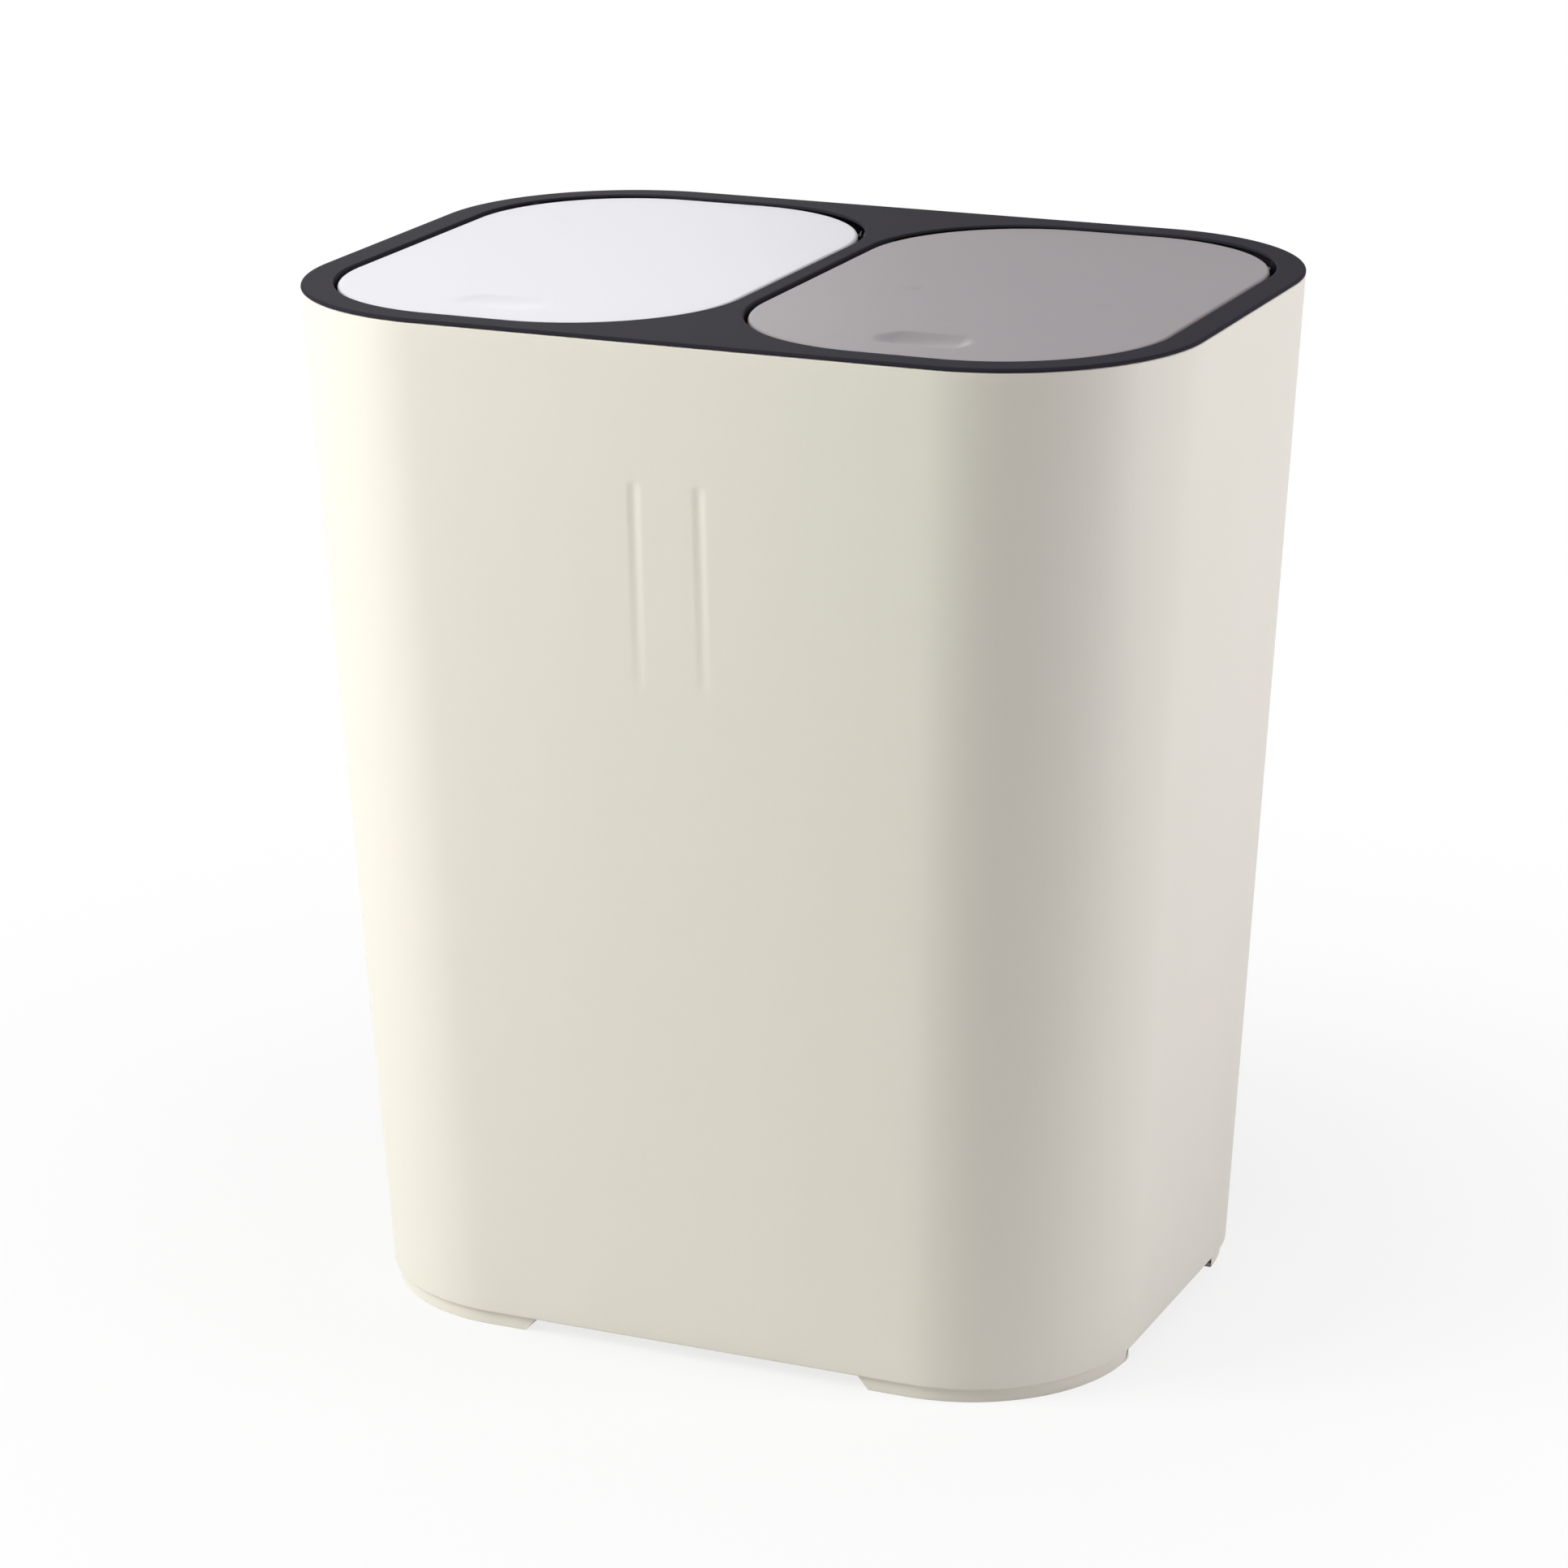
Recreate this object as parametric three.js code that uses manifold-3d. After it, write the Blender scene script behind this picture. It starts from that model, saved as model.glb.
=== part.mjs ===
// Double recycling bin: a tapered shell with moulded corner feet, a lift-off top frame,
// two push-to-open lids on rear hinge pins with touch latches, and two inner buckets with bails.
// Millimetres, +Z up, +Y to the back, origin on the floor under the middle of the bin.
import * as THREE from 'three';
import { mergeVertices } from 'three/addons/utils/BufferGeometryUtils.js';
import Module from 'manifold-3d';

// ---- Shell: outline at the top and at the base -------------------------------------------
const BIN_HEIGHT = 310;
const TOP_WIDTH = 274.4;
const TOP_DEPTH = 197.9;
const TOP_CORNER_RADIUS = 59;
const BASE_WIDTH = 239.2;
const BASE_DEPTH = 178;
const BASE_CORNER_RADIUS = 52;
const SHELL_WALL = 2.2;
const SHELL_FLOOR = 2.6;
const BASE_EDGE_CHAMFER = 0.8;
const FOOT_HEIGHT = 4.6;
const FOOT_INSET = 1.6;
const FOOT_RIM_WIDTH = 14;
const FOOT_GAP_FRONT = 104;
const FOOT_GAP_SIDE = 72;
const FOOT_END_SLOPE = 4;
const GROOVE_SPACING = 20;
const GROOVE_LENGTH = 64;
const GROOVE_TOP_SETBACK = 40;
const GROOVE_RADIUS = 4;
const GROOVE_TOP_DEPTH = 0.85;
const GROOVE_END_DEPTH = 0.2;
const FLOOR_RIB_THICKNESS = 2;
const FLOOR_RIB_LENGTH = 110;
const FLOOR_RIB_HEIGHT = 14;

// ---- Clearances ---------------------------------------------------------------------------
const SEAT_GAP = 0.3;
const RUNNING_GAP = 0.3;
const SKIRT_CLEARANCE = 0.4;

// ---- Top frame ----------------------------------------------------------------------------
const FRAME_PLATE = 1.4;
const SKIRT_DEPTH = 18;
const SKIRT_WALL = 1.8;
const LIP_WALL = 1.4;
const LIP_DEPTH = 4;
const LIP_END_SETBACK = 30;
const BRIDGE_WEB_THICKNESS = 2;
const BRIDGE_WEB_DEPTH = 12;

// ---- Lids ---------------------------------------------------------------------------------
const SIDE_BORDER = 10.45;
const END_BORDER = 10.6;
const BRIDGE_WIDTH = 8.1;
const LID_CORNER_STEP = 10;
const LID_GAP = 0.8;
const REAR_CORNER_RELIEF = 3.4;
const LID_DROP = 0.5;
const LID_SKIN = 2;
const LID_EDGE_RADIUS = 1.8;
const LID_SKIRT_DEPTH = 3.8;
const LID_SKIRT_WALL = 1.6;
const LID_RIB_THICKNESS = 1.4;
const LID_RIB_SPACING = 46;
const LID_RIB_DEPTH = 1.6;
const DIMPLE_WIDTH = 25;
const DIMPLE_LENGTH = 20;
const DIMPLE_DEPTH = 1.1;
const DIMPLE_SETBACK = 20.4;
const DIMPLE_BOSS_WALL = 1.4;

// ---- Hinges -------------------------------------------------------------------------------
const HINGE_SETBACK = 20;
const HINGE_DROP = 3;
const PIN_RADIUS = 0.8;
const KNUCKLE_RADIUS = 2.1;
const KNUCKLE_LENGTH = 10;
const BOSS_RADIUS = 2.3;
const BOSS_LENGTH = 4.6;
const SIDE_PLAY = 0.4;

// ---- Torsion springs ----------------------------------------------------------------------
const COIL_WIRE_RADIUS = 0.35;
const COIL_RADIUS = 1.45;
const COIL_PITCH = 1.3;
const COIL_TURNS = 4;
const LID_LEG_LENGTH = 12;
const FRAME_LEG_LENGTH = 10;
const SPRING_REST_LENGTH = 3;

// ---- Touch latches ------------------------------------------------------------------------
const LATCH_SETBACK = 4.4;
const LATCH_TOP_DROP = 9.5;
const LATCH_HEIGHT = 20.5;
const LATCH_WIDTH = 14;
const LATCH_LENGTH = 12;
const LATCH_FLOOR = 2;
const PLUNGER_WIDTH = 9;
const PLUNGER_LENGTH = 6.4;
const PLUNGER_HEIGHT = 10;
const PLUNGER_TOP_DROP = 0.5;
const PLUNGER_SLOT_DEPTH = 4;
const STRIKER_WIDTH = 6;
const STRIKER_THICKNESS = 2.4;
const STRIKER_SIDE_PLAY = 0.7;
const STRIKER_FLANGE = 1.2;
const STRIKER_FLANGE_OVERHANG = 2.6;
const LATCH_COIL_RADIUS = 2.2;
const LATCH_WIRE_RADIUS = 0.3;
const LATCH_COIL_TURNS = 4;
const EAR_WIDTH = 6;
const EAR_THICKNESS = 2;
const SCREW_RADIUS = 1.2;
const SCREW_HEAD_RADIUS = 2.4;
const SCREW_HEAD_HEIGHT = 1.8;
const SCREW_BOSS_RADIUS = 3;
const SCREW_TIP_WALL = 0.6;

// ---- Inner buckets ------------------------------------------------------------------------
const BUCKET_RIM_DROP = 38;
const BUCKET_WALL = 1.8;
const BUCKET_FLOOR = 2;
const BUCKET_LIP = 4.2;
const BUCKET_LIP_THICKNESS = 2.4;
const BUCKET_SIDE_CLEARANCE = 1;
const BUCKET_BASE_CLEARANCE = 3.4;
const BUCKET_INNER_DRAFT = 4;
const BUCKET_BASE_ROUND = 5;
const BAIL_WIDTH = 3.4;
const BAIL_HEIGHT = 4;
const BAIL_BEVEL = 0.7;
const BAIL_PIN_RADIUS = 1.45;
const BAIL_EAR_WIDTH = 12;
const BAIL_EAR_THICKNESS = 2.6;

// ---- Facets -------------------------------------------------------------------------------
const CORNER_STEPS = 12;
const ROUND_STEPS = 16;
const COIL_STEPS = 8;
const WIRE_SIDES = 5;

const wasm = await Module();
wasm.setup();

const X_AXIS = new THREE.Vector3(1, 0, 0);
const Y_AXIS = new THREE.Vector3(0, 1, 0);
const Z_AXIS = new THREE.Vector3(0, 0, 1);

// ---- Where things lie, from the sizes above -----------------------------------------------
const lidWidth = (TOP_WIDTH - BRIDGE_WIDTH) / 2 - SIDE_BORDER;
const lidDepth = TOP_DEPTH - 2 * END_BORDER;
const lidRadius = TOP_CORNER_RADIUS - LID_CORNER_STEP;
const lidOffset = (lidWidth + BRIDGE_WIDTH) / 2;
const hingeY = lidDepth / 2 - HINGE_SETBACK;
const hingeZ = -LID_DROP - HINGE_DROP;
const lidFrontY = -lidDepth / 2;
const strikerY = lidFrontY + LATCH_SETBACK;
const latchTopZ = -LATCH_TOP_DROP;
const latchBottomZ = latchTopZ - LATCH_HEIGHT;
const rimZ = BIN_HEIGHT - FRAME_PLATE - SEAT_GAP;
const floorZ = FOOT_HEIGHT + SHELL_FLOOR;
const bucketBottomZ = floorZ + SEAT_GAP;
const bucketRimZ = BIN_HEIGHT - BUCKET_RIM_DROP;
const halfPi = Math.PI / 2;

/** Half width, half depth and corner radius of the shell's outside at a height. */
function shellOutline(z, inset = 0) {
  const t = (z - FOOT_HEIGHT) / (BIN_HEIGHT - FOOT_HEIGHT);
  const mix = (base, top) => base + (top - base) * t;
  return {
    halfWidth: mix(BASE_WIDTH, TOP_WIDTH) / 2 - inset,
    halfDepth: mix(BASE_DEPTH, TOP_DEPTH) / 2 - inset,
    radius: mix(BASE_CORNER_RADIUS, TOP_CORNER_RADIUS) - inset,
  };
}

/** The same outline drawn in by an inset. */
function insetOutline(outline, inset) {
  const { centreX = 0, centreY = 0, halfWidth, halfDepth, radius, rearRadius = radius } = outline;
  return {
    centreX,
    centreY,
    halfWidth: halfWidth - inset,
    halfDepth: halfDepth - inset,
    radius: radius - inset,
    rearRadius: rearRadius - inset,
  };
}

/** Points of one rounded corner, quadrant 0 at the front right and on anticlockwise. */
function cornerPoints(outline, quadrant) {
  const { centreX = 0, centreY = 0, halfWidth, halfDepth } = outline;
  const signX = quadrant === 0 || quadrant === 1 ? 1 : -1;
  const signY = quadrant === 1 || quadrant === 2 ? 1 : -1;
  const radius = signY > 0 ? outline.rearRadius ?? outline.radius : outline.radius;
  const x = centreX + signX * (halfWidth - radius);
  const y = centreY + signY * (halfDepth - radius);
  const points = [];
  for (let i = 0; i <= CORNER_STEPS; i++) {
    const angle = (quadrant - 1 + i / CORNER_STEPS) * halfPi;
    points.push(new THREE.Vector2(x + radius * Math.cos(angle), y + radius * Math.sin(angle)));
  }
  return points;
}

/** The whole rounded rectangle, anticlockwise. */
function roundedLoop(outline) {
  return [0, 1, 2, 3].flatMap((quadrant) => cornerPoints(outline, quadrant));
}

/** Position and index arrays of the walls between rings that all have the same point count. */
function ringWalls(rings, closed) {
  const count = rings[0].loop.length;
  const positions = rings.flatMap(({ loop, z }) => loop.flatMap((p) => [p.x, p.y, z]));
  const indices = [];
  const bands = closed ? rings.length : rings.length - 1;
  for (let r = 0; r < bands; r++) {
    const low = r * count;
    const high = ((r + 1) % rings.length) * count;
    for (let i = 0; i < count; i++) {
      const j = (i + 1) % count;
      indices.push(low + i, low + j, high + j, low + i, high + j, high + i);
    }
  }
  return { positions, indices, count };
}

function indexedGeometry(positions, indices) {
  const geometry = new THREE.BufferGeometry();
  geometry.setAttribute('position', new THREE.Float32BufferAttribute(positions, 3));
  geometry.setIndex(indices);
  return geometry;
}

/** A solid through rings from its first cap, facing down, to its last, facing up. */
function loft(rings) {
  const { positions, indices, count } = ringWalls(rings, false);
  const cap = THREE.ShapeUtils.triangulateShape(rings[0].loop, []);
  for (const [a, b, c] of cap) indices.push(a, c, b);
  const last = (rings.length - 1) * count;
  const lid = THREE.ShapeUtils.triangulateShape(rings[rings.length - 1].loop, []);
  for (const [a, b, c] of lid) indices.push(last + a, last + b, last + c);
  return indexedGeometry(positions, indices);
}

/** A hollow band, such as a skirt: the last ring joins the first one again. */
function loftBand(rings) {
  const { positions, indices } = ringWalls(rings, true);
  return indexedGeometry(positions, indices);
}

const ring = (outline, z) => ({ loop: roundedLoop(outline), z });

/** A closed three.js geometry as a solid for joining and cutting. */
function solid(geometry) {
  const bare = geometry.clone();
  bare.deleteAttribute('normal');
  bare.deleteAttribute('uv');
  const merged = mergeVertices(bare, 1e-4);
  const kept = [];
  const index = merged.index.array;
  for (let i = 0; i < index.length; i += 3) {
    const [a, b, c] = [index[i], index[i + 1], index[i + 2]];
    if (a !== b && b !== c && c !== a) kept.push(a, b, c);
  }
  return new wasm.Manifold(new wasm.Mesh({
    numProp: 3,
    vertProperties: new Float32Array(merged.attributes.position.array),
    triVerts: new Uint32Array(kept),
  }));
}

/** A solid's triangles as a geometry that a mesh can hold. */
function geometryOf(body) {
  const { vertProperties, triVerts } = body.getMesh();
  return indexedGeometry(Array.from(vertProperties), Array.from(triVerts));
}

const joined = (...bodies) => bodies.reduce((sum, body) => sum.add(body));

/** A box from its ranges along X, Y and Z. */
function block([x0, x1], [y0, y1], [z0, z1]) {
  const geometry = new THREE.BoxGeometry(x1 - x0, y1 - y0, z1 - z0);
  geometry.translate((x0 + x1) / 2, (y0 + y1) / 2, (z0 + z1) / 2);
  return solid(geometry);
}

/** A round rod between two points. */
function rod(start, end, radius, steps = ROUND_STEPS) {
  const span = new THREE.Vector3().subVectors(end, start);
  const geometry = new THREE.CylinderGeometry(radius, radius, span.length(), steps);
  const turn = new THREE.Quaternion().setFromUnitVectors(Y_AXIS, span.clone().normalize());
  geometry.applyQuaternion(turn);
  const middle = start.clone().add(end).multiplyScalar(0.5);
  geometry.translate(middle.x, middle.y, middle.z);
  return solid(geometry);
}

/** A rod along X at a height and depth. */
function rodX(x0, x1, y, z, radius) {
  return rod(new THREE.Vector3(x0, y, z), new THREE.Vector3(x1, y, z), radius);
}

/** A rod along Y. */
function rodY(y0, y1, x, z, radius) {
  return rod(new THREE.Vector3(x, y0, z), new THREE.Vector3(x, y1, z), radius);
}

/** A flat outline pushed along an axis; for x it is drawn in (y, z), for y in (x, z). */
function prism(points, axis, from, to) {
  const shape = new THREE.Shape(points.map(([u, v]) => new THREE.Vector2(u, v)));
  const geometry = new THREE.ExtrudeGeometry(shape, { depth: to - from, bevelEnabled: false });
  const basis = new THREE.Matrix4();
  if (axis === 'x') basis.makeBasis(Y_AXIS, Z_AXIS, X_AXIS).setPosition(from, 0, 0);
  if (axis === 'y') basis.makeBasis(X_AXIS, Z_AXIS, Y_AXIS.clone().negate()).setPosition(0, to, 0);
  geometry.applyMatrix4(basis);
  return solid(geometry);
}

/** A plate under a rounded outline, between two heights. */
function slab(outline, z0, z1) {
  return solid(loft([ring(outline, z0), ring(outline, z1)]));
}

/** One unbroken wire through points, each with its tangent and a side direction. */
function wire(stations, radius) {
  const positions = [];
  const indices = [];
  for (const { at, along, side } of stations) {
    const up = new THREE.Vector3().crossVectors(along, side).normalize();
    for (let k = 0; k < WIRE_SIDES; k++) {
      const angle = (2 * Math.PI * k) / WIRE_SIDES;
      const point = at.clone()
        .addScaledVector(side, radius * Math.cos(angle))
        .addScaledVector(up, radius * Math.sin(angle));
      positions.push(point.x, point.y, point.z);
    }
  }
  for (let s = 0; s + 1 < stations.length; s++) {
    for (let k = 0; k < WIRE_SIDES; k++) {
      const next = (k + 1) % WIRE_SIDES;
      const low = s * WIRE_SIDES;
      const high = low + WIRE_SIDES;
      indices.push(low + k, low + next, high + next, low + k, high + next, high + k);
    }
  }
  const last = (stations.length - 1) * WIRE_SIDES;
  for (let k = 1; k + 1 < WIRE_SIDES; k++) {
    indices.push(0, k + 1, k, last, last + k, last + k + 1);
  }
  return indexedGeometry(positions, indices);
}

/** Smallest distance between wire surfaces one turn or more apart, in millimetres. */
function leastSelfGap(stations, radius, stepsPerTurn) {
  let least = Infinity;
  for (let i = 0; i < stations.length; i++) {
    for (let j = i + Math.ceil(stepsPerTurn / 2); j < stations.length; j++) {
      least = Math.min(least, stations[i].at.distanceTo(stations[j].at) - 2 * radius);
    }
  }
  return least;
}

// ---- Materials ----------------------------------------------------------------------------
function plastic(color, roughness) {
  return new THREE.MeshStandardMaterial({ color, roughness, metalness: 0 });
}

const creamPlastic = plastic('#e4ddcf', 0.55);
const charcoalPlastic = plastic('#3f3e44', 0.5);
const whitePlastic = plastic('#ebeaf0', 0.45);
const warmGreyPlastic = plastic('#a9a3a4', 0.45);
const bucketPlastic = plastic('#55555a', 0.6);
const latchPlastic = plastic('#2b2b2e', 0.5);
const naturalPlastic = plastic('#d9d5cb', 0.4);
const springSteel = new THREE.MeshStandardMaterial({ color: '#b4b6ba', roughness: 0.3, metalness: 1 });
const zincSteel = new THREE.MeshStandardMaterial({ color: '#a5a8ad', roughness: 0.35, metalness: 1 });

function piece(name, body, material) {
  const geometry = body.isBufferGeometry ? body : geometryOf(body);
  geometry.computeVertexNormals();
  const mesh = new THREE.Mesh(geometry, material);
  mesh.name = name;
  return mesh;
}

// ---- Shell --------------------------------------------------------------------------------

/** Four corner feet: a rim drawn in from the base, with a wide gap on every side. */
function cornerFeet() {
  const outside = shellOutline(FOOT_HEIGHT, FOOT_INSET);
  const inside = insetOutline(outside, FOOT_RIM_WIDTH);
  const overlap = SHELL_FLOOR / 2;
  const top = FOOT_HEIGHT + overlap;
  const rim = slab(outside, 0, top).subtract(slab(inside, -1, top + 1));
  const gapProfile = (gap) => {
    const slope = FOOT_END_SLOPE / FOOT_HEIGHT;
    const half = (z) => gap / 2 + slope * (FOOT_HEIGHT - z);
    return [[-half(-1), -1], [half(-1), -1], [half(top + 1), top + 1], [-half(top + 1), top + 1]];
  };
  return rim
    .subtract(prism(gapProfile(FOOT_GAP_FRONT), 'y', -BASE_DEPTH, BASE_DEPTH))
    .subtract(prism(gapProfile(FOOT_GAP_SIDE), 'x', -BASE_WIDTH, BASE_WIDTH));
}

/** One long shallow groove in the front wall, deepest at its top. */
function frontGroove(x) {
  const top = BIN_HEIGHT - GROOVE_TOP_SETBACK - GROOVE_RADIUS;
  const bottom = BIN_HEIGHT - GROOVE_TOP_SETBACK - GROOVE_LENGTH + GROOVE_RADIUS;
  const frontAt = (z, depth) => -shellOutline(z).halfDepth - GROOVE_RADIUS + depth;
  const upper = new THREE.Vector3(x, frontAt(top, GROOVE_TOP_DEPTH), top);
  const lower = new THREE.Vector3(x, frontAt(bottom, GROOVE_END_DEPTH), bottom);
  const span = new THREE.Vector3().subVectors(upper, lower);
  const geometry = new THREE.CapsuleGeometry(GROOVE_RADIUS, span.length(), 4, ROUND_STEPS);
  geometry.applyQuaternion(new THREE.Quaternion().setFromUnitVectors(Y_AXIS, span.clone().normalize()));
  const middle = upper.clone().add(lower).multiplyScalar(0.5);
  geometry.translate(middle.x, middle.y, middle.z);
  return solid(geometry);
}

function shell() {
  const cup = solid(loft([
    ring(shellOutline(FOOT_HEIGHT, BASE_EDGE_CHAMFER), FOOT_HEIGHT),
    ring(shellOutline(FOOT_HEIGHT + BASE_EDGE_CHAMFER), FOOT_HEIGHT + BASE_EDGE_CHAMFER),
    ring(shellOutline(rimZ), rimZ),
    ring(shellOutline(rimZ, SHELL_WALL), rimZ),
    ring(shellOutline(floorZ, SHELL_WALL), floorZ),
  ]));
  const rib = block(
    [-FLOOR_RIB_THICKNESS / 2, FLOOR_RIB_THICKNESS / 2],
    [-FLOOR_RIB_LENGTH / 2, FLOOR_RIB_LENGTH / 2],
    [floorZ - SHELL_FLOOR / 2, floorZ + FLOOR_RIB_HEIGHT],
  );
  return joined(cup, cornerFeet(), rib)
    .subtract(frontGroove(-GROOVE_SPACING / 2))
    .subtract(frontGroove(GROOVE_SPACING / 2));
}

// ---- Top frame, drawn from its top face downwards -------------------------------------------

/**
 * The hole for one lid: the lid's outline with its gap. The rear corners turn tighter than the
 * lid's, which leaves room where the lid's edge crosses the hinge line and moves back as it opens.
 */
function lidOpening(side, grow = 0) {
  return {
    centreX: side * lidOffset,
    halfWidth: lidWidth / 2 + LID_GAP + grow,
    halfDepth: lidDepth / 2 + LID_GAP + grow,
    radius: lidRadius + LID_GAP + grow,
    rearRadius: lidRadius + LID_GAP + grow - REAR_CORNER_RELIEF,
  };
}

/** The frame's wall that drops inside the shell and follows its taper. */
function skirtOutline(z, inset = 0) {
  return shellOutline(BIN_HEIGHT + z, SHELL_WALL + SKIRT_CLEARANCE + inset);
}

function frameSkirt() {
  const top = -FRAME_PLATE / 2;
  return solid(loftBand([
    ring(skirtOutline(-SKIRT_DEPTH), -SKIRT_DEPTH),
    ring(skirtOutline(top), top),
    ring(skirtOutline(top, SKIRT_WALL), top),
    ring(skirtOutline(-SKIRT_DEPTH, SKIRT_WALL), -SKIRT_DEPTH),
  ]));
}

/** Lip round a lid's opening, left off at the rear where the lid's tail swings down. */
function openingLip(side) {
  const band = slab(lidOpening(side, LIP_WALL), -LIP_DEPTH, -FRAME_PLATE / 2);
  const keep = block(
    [side * lidOffset - lidWidth, side * lidOffset + lidWidth],
    [-TOP_DEPTH, lidDepth / 2 - LIP_END_SETBACK],
    [-SKIRT_DEPTH, 0],
  );
  return band.intersect(keep);
}

/** A hinge boss: a round eye on a column under the plate, at one end of a lid's pin. */
function hingeBoss(x0, x1) {
  const low = Math.min(x0, x1);
  const high = Math.max(x0, x1);
  const column = block([low, high], [hingeY - BOSS_RADIUS, hingeY + BOSS_RADIUS], [hingeZ, -FRAME_PLATE / 2]);
  return column.add(rodX(low, high, hingeY, hingeZ, BOSS_RADIUS));
}

/** Half of a lid's width at a distance in front of its rear edge. */
function lidReach(setback) {
  const straight = lidWidth / 2 - lidRadius;
  return straight + Math.sqrt(lidRadius ** 2 - (lidRadius - setback) ** 2);
}

/** Places along X, measured outwards from a lid's middle line. */
function hingeStations() {
  const knuckleEnd = lidReach(HINGE_SETBACK) - SIDE_PLAY;
  const coilSide = lidReach(HINGE_SETBACK + COIL_RADIUS + COIL_WIRE_RADIUS) + SIDE_PLAY;
  const coilStart = coilSide + COIL_WIRE_RADIUS;
  const coilEnd = coilStart + COIL_TURNS * COIL_PITCH;
  const innerBoss = coilEnd + COIL_WIRE_RADIUS + SIDE_PLAY;
  const outerBoss = lidReach(HINGE_SETBACK + BOSS_RADIUS) + SIDE_PLAY;
  return { knuckleEnd, coilStart, coilEnd, innerBoss, outerBoss };
}

/** Block under the plate that the spring's rear leg bears up against. */
function springRest(side) {
  const { coilEnd } = hingeStations();
  const x = side * (lidOffset - coilEnd);
  const legTop = hingeZ - COIL_RADIUS + COIL_WIRE_RADIUS;
  const half = SPRING_REST_LENGTH / 2;
  const y = hingeY + FRAME_LEG_LENGTH - half;
  return block([x - half, x + half], [y - half, y + half], [legTop + SEAT_GAP, -FRAME_PLATE / 2]);
}

/** Height of the latch screws' line under the frame's top. */
const screwZ = (latchTopZ + latchBottomZ) / 2;
const earFrontY = strikerY - LATCH_LENGTH / 2;
const screwX = LATCH_WIDTH / 2 + EAR_WIDTH / 2;

/** The tab that carries one latch, with its two screw bosses. */
function latchTab(side) {
  const outerY = -skirtOutline(latchBottomZ).halfDepth;
  const innerY = outerY + SKIRT_WALL;
  const half = screwX + SCREW_BOSS_RADIUS;
  const x = side * lidOffset;
  let tab = block([x - half, x + half], [outerY, innerY], [latchBottomZ, -SKIRT_DEPTH / 2]);
  for (const hand of [-1, 1]) {
    const bossX = x + hand * screwX;
    tab = tab.add(rodY(outerY + SKIRT_WALL / 2, earFrontY - SEAT_GAP, bossX, screwZ, SCREW_BOSS_RADIUS));
  }
  return tab;
}

function screwHole(x) {
  const outerY = -skirtOutline(latchBottomZ).halfDepth;
  return rodY(outerY + SCREW_TIP_WALL, earFrontY + EAR_THICKNESS + 1, x, screwZ, SCREW_RADIUS + RUNNING_GAP);
}

function topFrame() {
  const plate = slab(shellOutline(BIN_HEIGHT), -FRAME_PLATE, 0);
  const webEnd = skirtOutline(-BRIDGE_WEB_DEPTH, SKIRT_WALL / 2).halfDepth;
  const web = block(
    [-BRIDGE_WEB_THICKNESS / 2, BRIDGE_WEB_THICKNESS / 2],
    [-webEnd, webEnd],
    [-BRIDGE_WEB_DEPTH, -FRAME_PLATE / 2],
  );
  let body = joined(plate, frameSkirt(), web);
  const { innerBoss, outerBoss } = hingeStations();
  for (const side of [-1, 1]) {
    const middle = side * lidOffset;
    body = joined(
      body,
      openingLip(side),
      hingeBoss(middle - side * innerBoss, middle - side * (innerBoss + BOSS_LENGTH)),
      hingeBoss(middle + side * outerBoss, middle + side * (outerBoss + BOSS_LENGTH)),
      springRest(side),
      latchTab(side),
    );
  }
  for (const side of [-1, 1]) {
    const middle = side * lidOffset;
    body = body
      .subtract(slab(lidOpening(side), -LIP_DEPTH - 1, 1))
      .subtract(rodX(middle - lidWidth, middle + lidWidth, hingeY, hingeZ, PIN_RADIUS + RUNNING_GAP))
      .subtract(screwHole(middle - screwX))
      .subtract(screwHole(middle + screwX));
  }
  return body;
}

// ---- Lids, drawn about the hinge axis -------------------------------------------------------

const lidTop = HINGE_DROP;
const lidCentreY = -(lidDepth / 2 - HINGE_SETBACK);

function lidOutline(inset = 0) {
  return {
    centreY: lidCentreY,
    halfWidth: lidWidth / 2 - inset,
    halfDepth: lidDepth / 2 - inset,
    radius: lidRadius - inset,
  };
}

/** Rings of the lid's outside, with the rounded top edge as a quarter circle. */
function lidRings() {
  const edgeSteps = 4;
  const rings = [ring(lidOutline(), lidTop - LID_SKIRT_DEPTH)];
  for (let i = 0; i <= edgeSteps; i++) {
    const angle = (i / edgeSteps) * halfPi;
    const inset = LID_EDGE_RADIUS * (1 - Math.cos(angle));
    rings.push(ring(lidOutline(inset), lidTop - LID_EDGE_RADIUS * (1 - Math.sin(angle))));
  }
  return rings;
}

/** Shallow press dimple: an ellipsoid that dips into the top skin. */
function dimpleTool(extra) {
  const sphere = new THREE.SphereGeometry(1, 24, 16);
  const height = 6;
  const depth = DIMPLE_DEPTH + extra;
  const widen = 1 / Math.sqrt(1 - (1 - DIMPLE_DEPTH / height) ** 2);
  sphere.scale(DIMPLE_WIDTH / 2 * widen + extra, DIMPLE_LENGTH / 2 * widen + extra, height);
  sphere.translate(0, lidCentreY - lidDepth / 2 + DIMPLE_SETBACK, lidTop + height - depth);
  return solid(sphere);
}

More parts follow.
